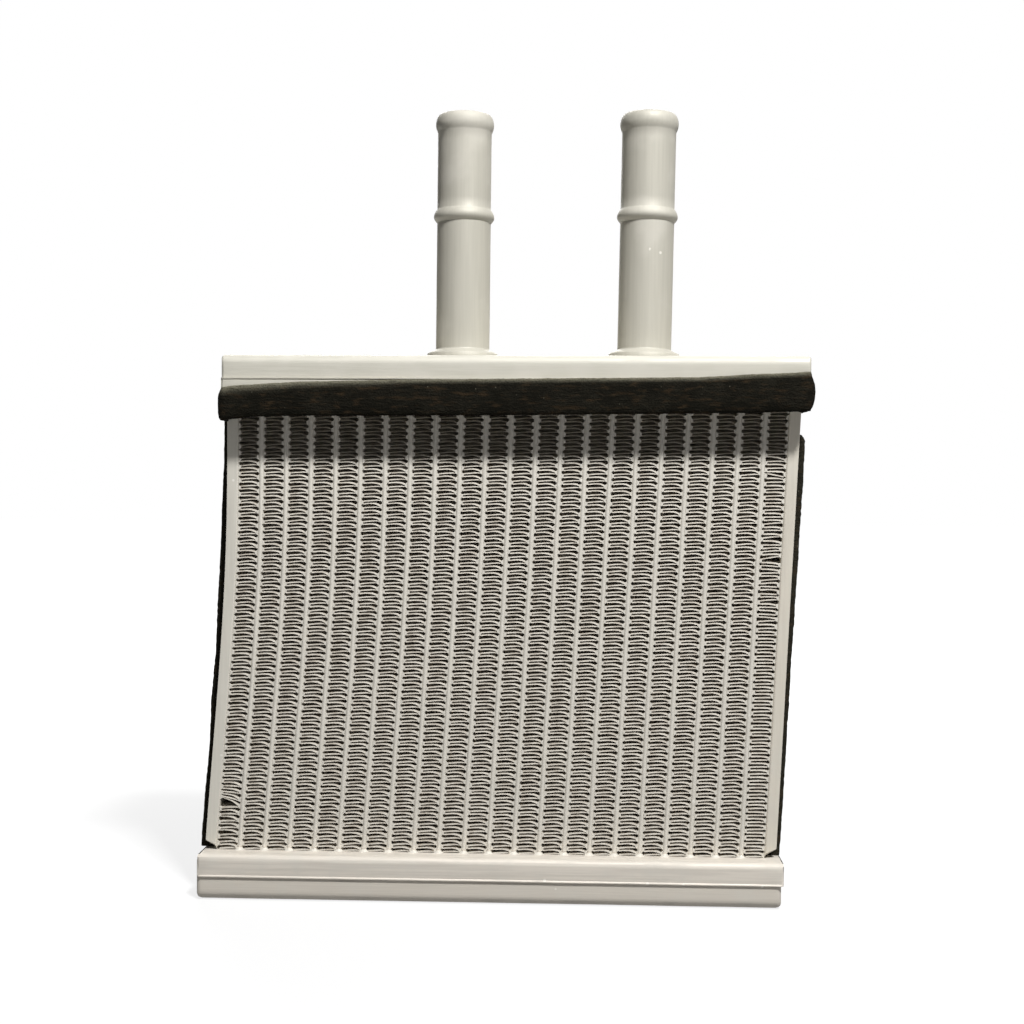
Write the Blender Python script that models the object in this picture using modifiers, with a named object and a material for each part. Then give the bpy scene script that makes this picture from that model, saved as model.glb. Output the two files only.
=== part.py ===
"""Heater core: two pressed tanks joined by flat tubes and corrugated fins, with two hose pipes.

Metres, +Z up along the pipes, front face towards -Y. The origin is the centre of the lower
tank's underside. The core is racked: its tubes lean to +X, so the upper tank sits to the right.
Its left side is also pulled in, most of all above the middle, so the tubes there are bowed.
"""

import math

import bmesh
import bpy
from mathutils import Vector

MM = 0.001

# Core block
TUBE_COUNT = 21
FIN_COUNT = TUBE_COUNT + 1
TUBE_THICKNESS = 1.4 * MM
TUBE_WALL = 0.3 * MM
TUBE_DEPTH = 26.0 * MM
TUBE_REACH = 3.2 * MM
FIN_WIDTH = 5.76 * MM
FIN_SHEET = 0.22 * MM
FIN_DEPTH = 25.4 * MM
FIN_FOLDS = 39
FIN_END_GAP = 0.3 * MM
CORE_HEIGHT = 128.6 * MM
RACKING = 6.0 * MM

# Where the pieces sit across the lower tank's middle line, as they were brazed
CORE_X = 0.17 * MM
LOWER_HEADER_X = 0.5 * MM
UPPER_TANK_X = 6.9 * MM

# The core's left side is pulled in: slope from a start to the left, full share at two heights
PULL_START = 30.0 * MM
PULL_SLOPE = 0.0162
PULL_HEIGHTS = (0.35, 0.75)
PULL_SHARES = (0.78, 0.92)

# Places where the outermost fins were hit: height, how far folds were pushed, reach
GAPS_LEFT = [(27.5 * MM, 0.9 * MM, 7.0 * MM)]
GAPS_RIGHT = [(98.5 * MM, 1.0 * MM, 6.0 * MM), (126.0 * MM, 0.7 * MM, 6.0 * MM)]

# Tanks and headers
SHEET = 1.2 * MM
HEADER_SHEET = 0.8 * MM
HEADER_LENGTH = 165.0 * MM
HEADER_DEPTH = 39.0 * MM
SKIRT = 6.3 * MM
HEADER_BEND = 1.8 * MM
TANK_LENGTH = 165.0 * MM
TANK_VISIBLE = 6.65 * MM
LOWER_TANK_BEND = 1.5 * MM
UPPER_TANK_BEND = 2.6 * MM
UPPER_TANK_END_BEND = 1.0 * MM
BEND_STEPS = 2

# Side plates
PLATE_SHEET = 1.0 * MM
FLANGE = 3.4 * MM
PLATE_BEND = 0.6 * MM
FLANGE_CUT = 1.9 * MM

# Pipes, heights counted from the top of the upper tank
PIPE_RADIUS = 8.0 * MM
PIPE_WALL = 1.2 * MM
PIPE_SPIGOT = 3.0 * MM
PIPE_TOP = 70.9 * MM
RIM_RADIUS = 7.15 * MM
END_BEAD = (67.7 * MM, 2.9 * MM, 0.55 * MM)
STOP_BEAD = (40.6 * MM, 2.8 * MM, 0.9 * MM)
NOSE_STEPS = 3
COLLAR_RADIUS = 10.3 * MM
COLLAR_EDGE = 1.7 * MM
COLLAR_HEIGHT = 3.2 * MM
FILLET = (0.6 * MM, 0.5 * MM)
POCKET_RADIUS = 10.8 * MM
POCKET_DEPTH = 0.4 * MM
PIPE_SIDES = 18
BEAD_STEPS = 4
PIPE_X = (-15.8 * MM, 37.0 * MM)
PIPE_LEAN = (math.radians(0.3), math.radians(0.9))

# Foam seals
BAND_THICKNESS = 2.2 * MM
BAND_END_THICKNESS = 0.5 * MM
BAND_ROUNDING = 1.0 * MM
BAND_TOP = (145.5 * MM, 149.7 * MM)
BAND_BOTTOM = (136.5 * MM, 138.7 * MM)
STRIP_DEPTH = 19.0 * MM
STRIP_ROUNDING = 0.5 * MM
STRIP_PROUD_LEFT = (2.2 * MM, 2.55 * MM, 2.5 * MM, 1.9 * MM)
STRIP_PROUD_RIGHT = (1.6 * MM, 1.9 * MM, 2.1 * MM, 2.3 * MM)
STRIP_TOP_LEFT = 136.0 * MM
STRIP_TOP_RIGHT = 132.8 * MM

# Clearances between touching pieces
SEAT = 0.1 * MM
BRAZE_GAP = 0.15 * MM
PIPE_GAP = 0.3 * MM

# Places worked out from the sizes above
TUBE_PITCH = TUBE_THICKNESS + FIN_WIDTH
CORE_WIDTH = FIN_COUNT * FIN_WIDTH + TUBE_COUNT * TUBE_THICKNESS
LOWER_FACE = TANK_VISIBLE + SKIRT
UPPER_FACE = LOWER_FACE + CORE_HEIGHT
TOTAL_HEIGHT = UPPER_FACE + LOWER_FACE
TANK_HEIGHT = LOWER_FACE - HEADER_BEND
TANK_DEPTH = HEADER_DEPTH - 2 * (HEADER_SHEET + SEAT)
COLLAR_SEAT = PIPE_GAP - POCKET_DEPTH
LEAN = RACKING / CORE_HEIGHT
BOW_LEVELS = [LOWER_FACE + share * CORE_HEIGHT for share in PULL_HEIGHTS]

ALUMINIUM = (0.60, 0.58, 0.55)
FOAM = (0.016, 0.015, 0.011)


def clear_scene():
    for obj in list(bpy.data.objects):
        bpy.data.objects.remove(obj, do_unlink=True)


def new_collection(name):
    collection = bpy.data.collections.new(name)
    bpy.context.scene.collection.children.link(collection)
    return collection


def new_material(name, color, roughness, metallic):
    material = bpy.data.materials.new(name)
    material.use_nodes = True
    shader = material.node_tree.nodes["Principled BSDF"]
    shader.inputs["Base Color"].default_value = (*color, 1.0)
    shader.inputs["Roughness"].default_value = roughness
    shader.inputs["Metallic"].default_value = metallic
    material.diffuse_color = (*color, 1.0)
    return material


def place(name, mesh, material, location=(0.0, 0.0, 0.0)):
    """An object for a mesh, in the part's collection."""
    obj = bpy.data.objects.new(name, mesh)
    if not mesh.materials:
        mesh.materials.append(material)
    obj.location = location
    PARTS.objects.link(obj)
    return obj


def place_cutter(name, mesh):
    cutter = bpy.data.objects.new(name, mesh)
    cutter.hide_render = True
    cutter.display_type = "WIRE"
    CUTTERS.objects.link(cutter)
    return cutter


def mesh_from(bm, name):
    mesh = bpy.data.meshes.new(name)
    bm.to_mesh(mesh)
    bm.free()
    return mesh


def evaluated_mesh(obj):
    """The object's mesh with its modifiers applied and its caps welded. The object is removed."""
    bpy.context.view_layer.update()
    graph = bpy.context.evaluated_depsgraph_get()
    mesh = bpy.data.meshes.new_from_object(obj.evaluated_get(graph))
    bm = bmesh.new()
    bm.from_mesh(mesh)
    bmesh.ops.remove_doubles(bm, verts=bm.verts, dist=0.001 * MM)
    bmesh.ops.recalc_face_normals(bm, faces=bm.faces)
    bm.to_mesh(mesh)
    bm.free()
    bpy.data.objects.remove(obj, do_unlink=True)
    return mesh


def between(values, place, places):
    """The value at a place, along straight lines between the values at the given places."""
    for low, high, start, end in zip(places, places[1:], values, values[1:]):
        if place <= high:
            return start + (end - start) * max(0.0, place - low) / (high - low)
    return values[-1]


def core_x(x, z):
    """Where a point of the straight core comes to lie once the core is racked and pulled in."""
    heights = [LOWER_FACE - TUBE_REACH, *BOW_LEVELS, UPPER_FACE + TUBE_REACH]
    pulled = between([0.0, *PULL_SHARES, 0.0], z, heights)
    return x + CORE_X + LEAN * (z - LOWER_FACE) + PULL_SLOPE * max(0.0, PULL_START - x) * pulled


def bend_with_core(mesh):
    """Moves a core piece, built straight and in its place, to its place in the bent core."""
    for vertex in mesh.vertices:
        vertex.co.x = core_x(vertex.co.x, vertex.co.z)


def add_bow_levels(mesh):
    """Cuts an upright piece across at the heights where the bent core changes direction."""
    bm = bmesh.new()
    bm.from_mesh(mesh)
    for z in BOW_LEVELS:
        geometry = bm.verts[:] + bm.edges[:] + bm.faces[:]
        bmesh.ops.bisect_plane(bm, geom=geometry, dist=0.001 * MM, plane_co=(0, 0, z), plane_no=(0, 0, 1))
    bm.to_mesh(mesh)
    bm.free()


def open_box(name, size, middle, open_sides):
    """A box surface about a middle point, without the faces that look along open_sides."""
    bm = bmesh.new()
    bmesh.ops.create_cube(bm, size=1.0)
    bmesh.ops.scale(bm, vec=size, verts=bm.verts)
    bmesh.ops.translate(bm, vec=middle, verts=bm.verts)
    lids = [f for f in bm.faces if any(f.normal.dot(Vector(s)) > 0.9 for s in open_sides)]
    bmesh.ops.delete(bm, geom=lids, context="FACES")
    return mesh_from(bm, name)


def add_bevel(obj, width, steps):
    bevel = obj.modifiers.new("rounded_edges", "BEVEL")
    bevel.width = width
    bevel.segments = steps
    bevel.limit_method = "ANGLE"
    bevel.angle_limit = math.radians(40)


def add_sheet(obj, thickness, offset):
    sheet = obj.modifiers.new("sheet", "SOLIDIFY")
    sheet.thickness = thickness
    sheet.offset = offset
    sheet.use_even_offset = True


def add_cut(obj, cutter):
    cut = obj.modifiers.new(cutter.name, "BOOLEAN")
    cut.operation = "DIFFERENCE"
    cut.object = cutter


def flat_solid(name, outlines, length):
    """A mesh of one or more flat outlines, extruded along Z. An outline inside another is a hole."""
    curve = bpy.data.curves.new(name, "CURVE")
    curve.dimensions = "2D"
    curve.fill_mode = "BOTH"
    curve.extrude = length / 2
    for points in outlines:
        spline = curve.splines.new("POLY")
        spline.points.add(len(points) - 1)
        for point, (x, y) in zip(spline.points, points):
            point.co = (x, y, 0.0, 1.0)
        spline.use_cyclic_u = True
    obj = bpy.data.objects.new(name, curve)
    PARTS.objects.link(obj)
    return evaluated_mesh(obj)


def obround(width, length, steps):
    """A flat shape with round ends, its long side along Y."""
    radius = width / 2
    straight = length / 2 - radius
    points = []
    for side in (1, -1):
        for i in range(steps + 1):
            angle = math.pi * i / steps
            points.append((side * radius * math.cos(angle), side * (straight + radius * math.sin(angle))))
    return points


def rectangle(width, length):
    return [(sx * width / 2, sy * length / 2) for sx, sy in ((1, 1), (-1, 1), (-1, -1), (1, -1))]


def tube_x(index):
    return (index - (TUBE_COUNT - 1) / 2) * TUBE_PITCH


def fin_x(index):
    return (index - (FIN_COUNT - 1) / 2) * TUBE_PITCH


def make_tube(index):
    """A flat tube, brazed through a slot in each header and open into the tanks."""
    bore = rectangle(TUBE_THICKNESS - 2 * TUBE_WALL, TUBE_DEPTH - TUBE_THICKNESS)
    length = CORE_HEIGHT + 2 * TUBE_REACH
    name = f"tube_{index + 1:02d}"
    mesh = flat_solid(name, [obround(TUBE_THICKNESS, TUBE_DEPTH, 3), bore], length)
    for vertex in mesh.vertices:
        vertex.co += Vector((tube_x(index), 0.0, LOWER_FACE + CORE_HEIGHT / 2))
    if tube_x(index) < PULL_START:
        add_bow_levels(mesh)
    bend_with_core(mesh)
    place(name, mesh, TUBE_METAL)


def fin_heights(gaps):
    """Heights of a fin's folds, with those near a gap pushed away from it."""
    low = LOWER_FACE + FIN_END_GAP + FIN_SHEET
    high = UPPER_FACE - FIN_END_GAP - FIN_SHEET
    heights = []
    for i in range(FIN_FOLDS + 1):
        z = low + (high - low) * i / FIN_FOLDS
        for height, push, reach in gaps:
            offset = (z - height) / reach
            z += push * math.copysign(math.exp(-offset * offset), offset)
        heights.append(z)
    return heights


def fin_mesh(name, middle_x, gaps):
    """A strip folded to and fro between two tubes: an open surface, drawn out over the core's depth."""
    half_angle = math.atan2(CORE_HEIGHT / FIN_FOLDS, FIN_WIDTH)
    reach = FIN_WIDTH / 2 - SEAT - FIN_SHEET / (2 * math.sin(half_angle))
    bm = bmesh.new()
    folds = []
    for i, z in enumerate(fin_heights(gaps)):
        side = 1 if i % 2 else -1
        folds.append(bm.verts.new((middle_x + side * reach, -FIN_DEPTH / 2, z)))
    leaves = [bm.edges.new(pair) for pair in zip(folds, folds[1:])]
    drawn = bmesh.ops.extrude_edge_only(bm, edges=leaves)["geom"]
    moved = [v for v in drawn if isinstance(v, bmesh.types.BMVert)]
    bmesh.ops.translate(bm, vec=(0.0, FIN_DEPTH, 0.0), verts=moved)
    mesh = mesh_from(bm, name)
    bend_with_core(mesh)
    return mesh


def make_fin(index):
    """A corrugated fin. The first and last were hit at the front and have folds pushed apart."""
    gaps = {0: GAPS_LEFT, FIN_COUNT - 1: GAPS_RIGHT}.get(index, [])
    name = f"fin_{index + 1:02d}"
    fin = place(name, fin_mesh(name, fin_x(index), gaps), FIN_METAL)
    add_sheet(fin, FIN_SHEET, 0.0)


def slot_cutter(name, middle_z):
    """One box for each tube, standing through a header."""
    bm = bmesh.new()
    size = (TUBE_THICKNESS + 2 * BRAZE_GAP, TUBE_DEPTH + 2 * BRAZE_GAP, 3 * SHEET)
    for i in range(TUBE_COUNT):
        box = bmesh.ops.create_cube(bm, size=1.0)["verts"]
        bmesh.ops.scale(bm, vec=size, verts=box)
        bmesh.ops.translate(bm, vec=(core_x(tube_x(i), middle_z), 0.0, middle_z), verts=box)
    return place_cutter(name, mesh_from(bm, name))


def make_header(name, face, side, middle_x):
    """A channel that holds the tubes: a slotted plate with a skirt folded over the tank's rim."""
    middle = (middle_x, 0.0, face + side * SKIRT / 2)
    open_sides = [(0, 0, side), (1, 0, 0), (-1, 0, 0)]
    mesh = open_box(name, (HEADER_LENGTH, HEADER_DEPTH, SKIRT), middle, open_sides)
    header = place(name, mesh, TANK_METAL)
    add_bevel(header, HEADER_BEND, BEND_STEPS)
    add_sheet(header, HEADER_SHEET, -1.0)
    add_cut(header, slot_cutter(name + "_slots", face + side * HEADER_SHEET / 2))


def make_tank(name, outer, side, middle_x, bend):
    """A pressed pan with rounded edges, its rim inside the header's skirt."""
    middle = (middle_x, 0.0, outer + side * TANK_HEIGHT / 2)
    mesh = open_box(name, (TANK_LENGTH, TANK_DEPTH, TANK_HEIGHT), middle, [(0, 0, side)])
    tank = place(name, mesh, TANK_METAL)
    add_bevel(tank, bend, BEND_STEPS)
    add_sheet(tank, SHEET, -1.0)
    return tank


def sharpen_ends(tank, share):
    """Rounds the edges at a tank's two ends by only a share of its long edges' rounding."""
    mesh = tank.data
    roundness = mesh.attributes.new("bevel_weight_edge", "FLOAT", "EDGE")
    for edge in mesh.edges:
        ends = [mesh.vertices[i].co.x for i in edge.vertices]
        roundness.data[edge.index].value = 1.0 if abs(ends[0] - ends[1]) > TANK_DEPTH else share
    tank.modifiers["rounded_edges"].limit_method = "WEIGHT"


def cut_round(tank, name, radius, x, depth):
    """Cuts a round hole or pocket down from the top of the upper tank."""
    bm = bmesh.new()
    bmesh.ops.create_cone(
        bm, cap_ends=True, segments=PIPE_SIDES, radius1=radius, radius2=radius, depth=2 * depth
    )
    bmesh.ops.translate(bm, vec=(x, 0.0, TOTAL_HEIGHT), verts=bm.verts)
    add_cut(tank, place_cutter(name, mesh_from(bm, name)))


def make_pipe_seat(tank, name, x):
    """The pipe's hole, in the middle of a shallow pocket that locates its collar."""
    cut_round(tank, name + "_pocket", POCKET_RADIUS, x, POCKET_DEPTH)
    cut_round(tank, name + "_hole", PIPE_RADIUS + PIPE_GAP, x, 3 * SHEET)


def bead(height, half, bulge):
    """Points over a rolled bead, from its top down, as a raised cosine on the pipe's radius."""
    points = []
    for i in range(BEAD_STEPS + 1):
        t = 1 - 2 * i / BEAD_STEPS
        rise = bulge * (1 + math.cos(math.pi * t)) / 2
        points.append((PIPE_RADIUS + rise, height + half * t))
    return points


def pipe_profile():
    """Radius and height, down the outside and up the bore."""
    bead_height, bead_half, bead_bulge = END_BEAD
    nose = PIPE_TOP - bead_height
    widest = PIPE_RADIUS + bead_bulge
    outside = []
    for i in range(NOSE_STEPS):
        turn = math.pi / 2 * (1 - i / NOSE_STEPS)
        radius = RIM_RADIUS + (widest - RIM_RADIUS) * math.cos(turn)
        outside.append((radius, bead_height + nose * math.sin(turn)))
    outside += bead(*END_BEAD)[BEAD_STEPS // 2:]
    outside += bead(*STOP_BEAD)
    outside += [(PIPE_RADIUS, COLLAR_HEIGHT), (PIPE_RADIUS + FILLET[0], COLLAR_HEIGHT - FILLET[1])]
    outside += [(COLLAR_RADIUS, COLLAR_SEAT + COLLAR_EDGE), (COLLAR_RADIUS, COLLAR_SEAT)]
    outside += [(PIPE_RADIUS, COLLAR_SEAT), (PIPE_RADIUS, -PIPE_SPIGOT)]
    bore = PIPE_RADIUS - PIPE_WALL
    inside = [(bore, -PIPE_SPIGOT), (bore, bead_height), (RIM_RADIUS - PIPE_WALL / 2, PIPE_TOP)]
    return outside + inside


def make_pipe(name, x, lean):
    """A hose pipe: turned from its profile, with a brazed collar, a stop bead and an end bead."""
    bm = bmesh.new()
    ring = [bm.verts.new((radius, 0.0, height)) for radius, height in pipe_profile()]
    for start, end in zip(ring, ring[1:] + ring[:1]):
        bm.edges.new((start, end))
    profile = bpy.data.objects.new(name + "_profile", mesh_from(bm, name + "_profile"))
    PARTS.objects.link(profile)
    screw = profile.modifiers.new("turned", "SCREW")
    screw.axis = "Z"
    screw.angle = 2 * math.pi
    screw.steps = PIPE_SIDES
    screw.render_steps = PIPE_SIDES
    screw.use_merge_vertices = False
    mesh = evaluated_mesh(profile)
    mesh.name = name
    mesh.shade_smooth()
    mesh.set_sharp_from_angle(angle=math.radians(35))
    pipe = place(name, mesh, PIPE_METAL, (x, 0.0, TOTAL_HEIGHT))
    pipe.rotation_euler = (0.0, lean, 0.0)


def make_baffle(x):
    """The wall inside the upper tank that parts the inlet side from the outlet side."""
    low = UPPER_FACE + HEADER_SHEET + SEAT
    high = TOTAL_HEIGHT - SHEET - SEAT
    width = TANK_DEPTH - 2 * SHEET - 2 * SEAT
    corner = UPPER_TANK_BEND - SHEET
    half = width / 2
    outline = [(-half, low), (half, low), (half, high - corner), (half - corner, high)]
    outline += [(corner - half, high), (-half, high - corner)]
    mesh = flat_solid("baffle", [outline], SHEET)
    for vertex in mesh.vertices:
        across, up, along = vertex.co
        vertex.co = (along, across, up)
    place("baffle", mesh, TANK_METAL, (x, 0.0, 0.0))


def make_side_plate(name, side):
    """A channel against the outermost fin, its flanges turned outwards and cut short at the ends."""
    inner = CORE_WIDTH / 2 + SEAT
    outer = CORE_WIDTH / 2 + FLANGE
    size = (outer - inner, TUBE_DEPTH, CORE_HEIGHT - 2 * SEAT)
    middle = (side * (inner + outer) / 2, 0.0, LOWER_FACE + CORE_HEIGHT / 2)
    open_sides = [(side, 0, 0), (0, 0, 1), (0, 0, -1)]
    mesh = open_box(name, size, middle, open_sides)
    for vertex in mesh.vertices:
        if abs(vertex.co.x) > (inner + outer) / 2:
            vertex.co.z -= math.copysign(FLANGE_CUT, vertex.co.z - middle[2])
    add_bow_levels(mesh)
    bend_with_core(mesh)
    plate = place(name, mesh, PLATE_METAL)
    add_bevel(plate, PLATE_BEND, 1)
    add_sheet(plate, PLATE_SHEET, -1.0)


def make_seal_strip(name, side, top, proud):
    """Foam laid in a side plate's channel, standing a little proud of the flanges."""
    inner = CORE_WIDTH / 2 + SEAT + PLATE_SHEET + SEAT
    flange_edge = CORE_WIDTH / 2 + FLANGE
    low = LOWER_FACE + SEAT
    size = (flange_edge - inner, STRIP_DEPTH, top - low)
    mesh = open_box(name, size, (side * (flange_edge + inner) / 2, 0.0, (top + low) / 2), [])
    add_bow_levels(mesh)
    for vertex in mesh.vertices:
        if abs(vertex.co.x) > (inner + flange_edge) / 2:
            vertex.co.x += side * between(proud, vertex.co.z, [low, *BOW_LEVELS, top])
    bend_with_core(mesh)
    strip = place(name, mesh, FOAM_BLACK)
    add_bevel(strip, STRIP_ROUNDING, 1)


def make_seal_band(middle_x):
    """The foam band wrapped round the upper header, a little crooked, over the top of the core."""
    size = (HEADER_LENGTH + 2 * SEAT, HEADER_DEPTH + 2 * SEAT, 1.0)
    mesh = open_box("seal_band", size, (0.0, 0.0, 0.0), [(0, 0, 1), (0, 0, -1)])
    for vertex in mesh.vertices:
        along = vertex.co.x / size[0] + 0.5
        left, right = BAND_TOP if vertex.co.z > 0 else BAND_BOTTOM
        vertex.co.z = left + (right - left) * along
        vertex.co.x += middle_x
    band = place("seal_band_sheet", mesh, FOAM_BLACK)
    inner_side = band.vertex_groups.new(name="inner_side")
    add_sheet(band, BAND_THICKNESS, 1.0)
    band.modifiers["sheet"].shell_vertex_group = inner_side.name
    add_bevel(band, BAND_ROUNDING, BEND_STEPS)
    band.modifiers["rounded_edges"].limit_method = "VGROUP"
    band.modifiers["rounded_edges"].vertex_group = inner_side.name
    band.modifiers["rounded_edges"].invert_vertex_group = True
    stretched = evaluated_mesh(band)
    for vertex in stretched.vertices:
        past_end = abs(vertex.co.x - middle_x) - size[0] / 2
        if past_end > 0:
            squeezed_out = past_end * (1 - BAND_END_THICKNESS / BAND_THICKNESS)
            vertex.co.x -= math.copysign(squeezed_out, vertex.co.x - middle_x)
    place("seal_band", stretched, FOAM_BLACK)


clear_scene()
PARTS = new_collection("heater_core")
CUTTERS = new_collection("cutters")
TANK_METAL = new_material("tank_aluminium", ALUMINIUM, 0.45, 1.0)
PIPE_METAL = new_material("pipe_aluminium", ALUMINIUM, 0.38, 1.0)
TUBE_METAL = new_material("tube_aluminium", ALUMINIUM, 0.5, 1.0)
PLATE_METAL = new_material("side_plate_aluminium", ALUMINIUM, 0.45, 1.0)
FIN_METAL = new_material("fin_aluminium", (0.66, 0.63, 0.60), 0.5, 1.0)
FOAM_BLACK = new_material("black_foam", FOAM, 0.95, 0.0)

make_tank("lower_tank", 0.0, 1, 0.0, LOWER_TANK_BEND)
make_header("lower_header", LOWER_FACE, -1, LOWER_HEADER_X)
make_header("upper_header", UPPER_FACE, 1, UPPER_TANK_X)
upper_tank = make_tank("upper_tank", TOTAL_HEIGHT, -1, UPPER_TANK_X, UPPER_TANK_BEND)
sharpen_ends(upper_tank, UPPER_TANK_END_BEND / UPPER_TANK_BEND)
make_baffle(core_x(fin_x(FIN_COUNT // 2), UPPER_FACE))
for pipe_name, offset, pipe_lean in zip(("inlet_pipe", "outlet_pipe"), PIPE_X, PIPE_LEAN):
    make_pipe_seat(upper_tank, pipe_name, UPPER_TANK_X + offset)
    make_pipe(pipe_name, UPPER_TANK_X + offset, pipe_lean)
for tube_index in range(TUBE_COUNT):
    make_tube(tube_index)
for fin_index in range(FIN_COUNT):
    make_fin(fin_index)
make_side_plate("side_plate_left", -1)
make_side_plate("side_plate_right", 1)
make_seal_strip("seal_strip_left", -1, STRIP_TOP_LEFT, STRIP_PROUD_LEFT)
make_seal_strip("seal_strip_right", 1, STRIP_TOP_RIGHT, STRIP_PROUD_RIGHT)
make_seal_band(UPPER_TANK_X)
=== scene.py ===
"""The looks of the heater core: satin aluminium, full-count louvred fins, brazing and foam seals.

Metres, +Z up, front face towards -Y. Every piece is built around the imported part, which gives
the places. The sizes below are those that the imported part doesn't hold.
"""

import math
import random

import bmesh
import bpy
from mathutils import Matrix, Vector, noise


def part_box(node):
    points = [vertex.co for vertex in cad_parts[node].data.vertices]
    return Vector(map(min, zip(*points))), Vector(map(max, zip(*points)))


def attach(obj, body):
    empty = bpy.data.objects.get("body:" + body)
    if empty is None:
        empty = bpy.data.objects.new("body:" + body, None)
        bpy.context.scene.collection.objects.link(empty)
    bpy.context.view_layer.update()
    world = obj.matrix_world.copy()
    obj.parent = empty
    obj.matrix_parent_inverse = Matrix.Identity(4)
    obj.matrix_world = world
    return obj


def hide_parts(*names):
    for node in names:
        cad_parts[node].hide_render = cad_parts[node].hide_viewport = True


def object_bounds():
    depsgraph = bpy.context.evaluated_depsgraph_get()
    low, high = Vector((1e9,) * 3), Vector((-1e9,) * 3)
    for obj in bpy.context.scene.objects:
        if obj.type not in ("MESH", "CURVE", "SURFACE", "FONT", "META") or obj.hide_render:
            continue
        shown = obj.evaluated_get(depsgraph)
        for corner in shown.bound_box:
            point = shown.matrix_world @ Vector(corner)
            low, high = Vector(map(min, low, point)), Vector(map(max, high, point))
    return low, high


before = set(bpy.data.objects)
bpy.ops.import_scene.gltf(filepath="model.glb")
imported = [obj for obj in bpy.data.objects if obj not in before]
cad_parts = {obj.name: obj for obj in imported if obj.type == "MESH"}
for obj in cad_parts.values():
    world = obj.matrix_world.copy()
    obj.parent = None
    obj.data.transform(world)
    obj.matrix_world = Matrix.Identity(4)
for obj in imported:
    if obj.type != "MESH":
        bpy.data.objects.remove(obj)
packed_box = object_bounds()

MM = 0.001

# Places nearer than this count as one
NEAR = 0.1 * MM

# Edges bent more than this stay sharp, in degrees
SHARP_ANGLE = 50
SHEET_SHARP_ANGLE = 35
PIPE_SHARP_ANGLE = 40
FIN_SHARP_ANGLE = 80
STRIP_SHARP_ANGLE = 70

# Where the random draws of the tubes and fins start
TUBE_SEED = 100
FIN_SEED = 500

# Camera, as the photograph was taken
PHOTO_WIDTH = 1024
FOCAL_LENGTH_IN_PIXELS = 1500
SENSOR_WIDTH = 36.0
CAMERA_PLACE = (24.15 * MM, -437.8 * MM, 118.5 * MM)
CAMERA_PITCH = -0.019
CAMERA_YAW = 0.042
CAMERA_ROLL = 0.006

# Core. The pull is how far its left side stands in over the middle of its height.
TUBE_COUNT = 21
FIN_COUNT = TUBE_COUNT + 1
PULL_START = 30.0 * MM
PULL_SLOPE = 0.0162
PULL_SKEW = 1.3

# Tubes
TUBE_THICKNESS = 1.4 * MM
TUBE_STATION = 2.0 * MM
TUBE_REACH = 3.2 * MM
TUBE_SWELL = (-0.04 * MM, 0.05 * MM)
FOOT_SPREAD = 0.85 * MM
NOSE_ARC_STEPS = 6
SLOT_PLAY = 0.04 * MM

# Fins: the start is the first leaf's height, the spare what the leaves leave free in all
FIN_WIDTH = 5.76 * MM
FIN_START = (0.05 * MM, 0.2 * MM)
FIN_SPARE = 0.9 * MM
LEAVES = 130
ARCHED_SHEET = 0.46 * MM
STRAIGHT_SHEET = 0.36 * MM
EDGE_SLOPE = 0.9
LEAF_CLEAR = 0.03 * MM
LEAF_WANDER = 0.05 * MM
LEAF_LEAN = 0.03 * MM
LEAF_CURVES = (0.75, 1.25)
RIGHTMOST_CURVE = 0.45
TURN_RADIUS = 0.34 * MM
TURN_STEPS = 4
LOUVRE_WIDTH = 2.05 * MM
LOUVRE_SHEET = 0.12 * MM
LOUVRE_TILT = math.radians(-37)
LOUVRES_IN_BANK = 5
FRONT_BAND = 1.7 * MM
MIDDLE_BAND = 1.5 * MM

# Braze beads between the fins' turns and the tubes
BEAD_DEPTH = 0.58 * MM
BEAD_HEIGHTS = (0.32 * MM, 0.76 * MM)
BEAD_SIZES = (0.85, 1.15)
BEAD_INSETS = (-0.05 * MM, 0.12 * MM)
BEAD_SINK = 0.1 * MM

# Heights over its own level of a leaf from its left end (0) to its right (1). Every second leaf
# is arched and falls away at the right, where it folds into the straighter leaf under it.
ARCHED_LEAF = [
    (0.0, 0.0 * MM), (0.12, 0.05 * MM), (0.35, 0.15 * MM), (0.58, 0.16 * MM), (0.78, 0.02 * MM),
    (0.9, -0.16 * MM), (1.0, -0.38 * MM),
]
STRAIGHT_LEAF = [
    (0.0, -0.22 * MM), (0.12, -0.15 * MM), (0.35, -0.06 * MM), (0.58, 0.02 * MM), (0.78, 0.07 * MM),
    (0.9, 0.08 * MM), (1.0, 0.04 * MM),
]
LEAF_POINTS = len(ARCHED_LEAF)

# Knocked places of the outermost fins: height, how far the leaves over it (with a negative reach,
# those under it) are pushed away at the left and at the right, and how far that is felt
KNOCKS_LEFT = [
    (26.0 * MM, 2.2 * MM, 0.0 * MM, 3.2 * MM),
    (21.6 * MM, 0.55 * MM, -0.35 * MM, 1.2 * MM),
    (18.0 * MM, 0.5 * MM, 0.1 * MM, 1.2 * MM),
]
KNOCKS_RIGHT = [
    (107.0 * MM, 0.0 * MM, 0.5 * MM, 0.9 * MM),
    (103.0 * MM, 0.0 * MM, 0.5 * MM, 0.9 * MM),
    (97.0 * MM, 0.1 * MM, 0.9 * MM, 1.4 * MM),
    (97.0 * MM, 0.1 * MM, 0.4 * MM, -1.0 * MM),
]

# Single leaves of the right-hand fin that lean: height, and fall from the middle to the right
LEANING_RIGHT = [(129.6 * MM, 0.36 * MM), (125.8 * MM, 0.36 * MM), (121.5 * MM, 0.50 * MM)]
RUFFLED_RIGHT = (80.0 * MM, 106.0 * MM)
RUFFLE = 0.18 * MM
RUFFLE_OF_LEVEL = 0.6

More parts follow.
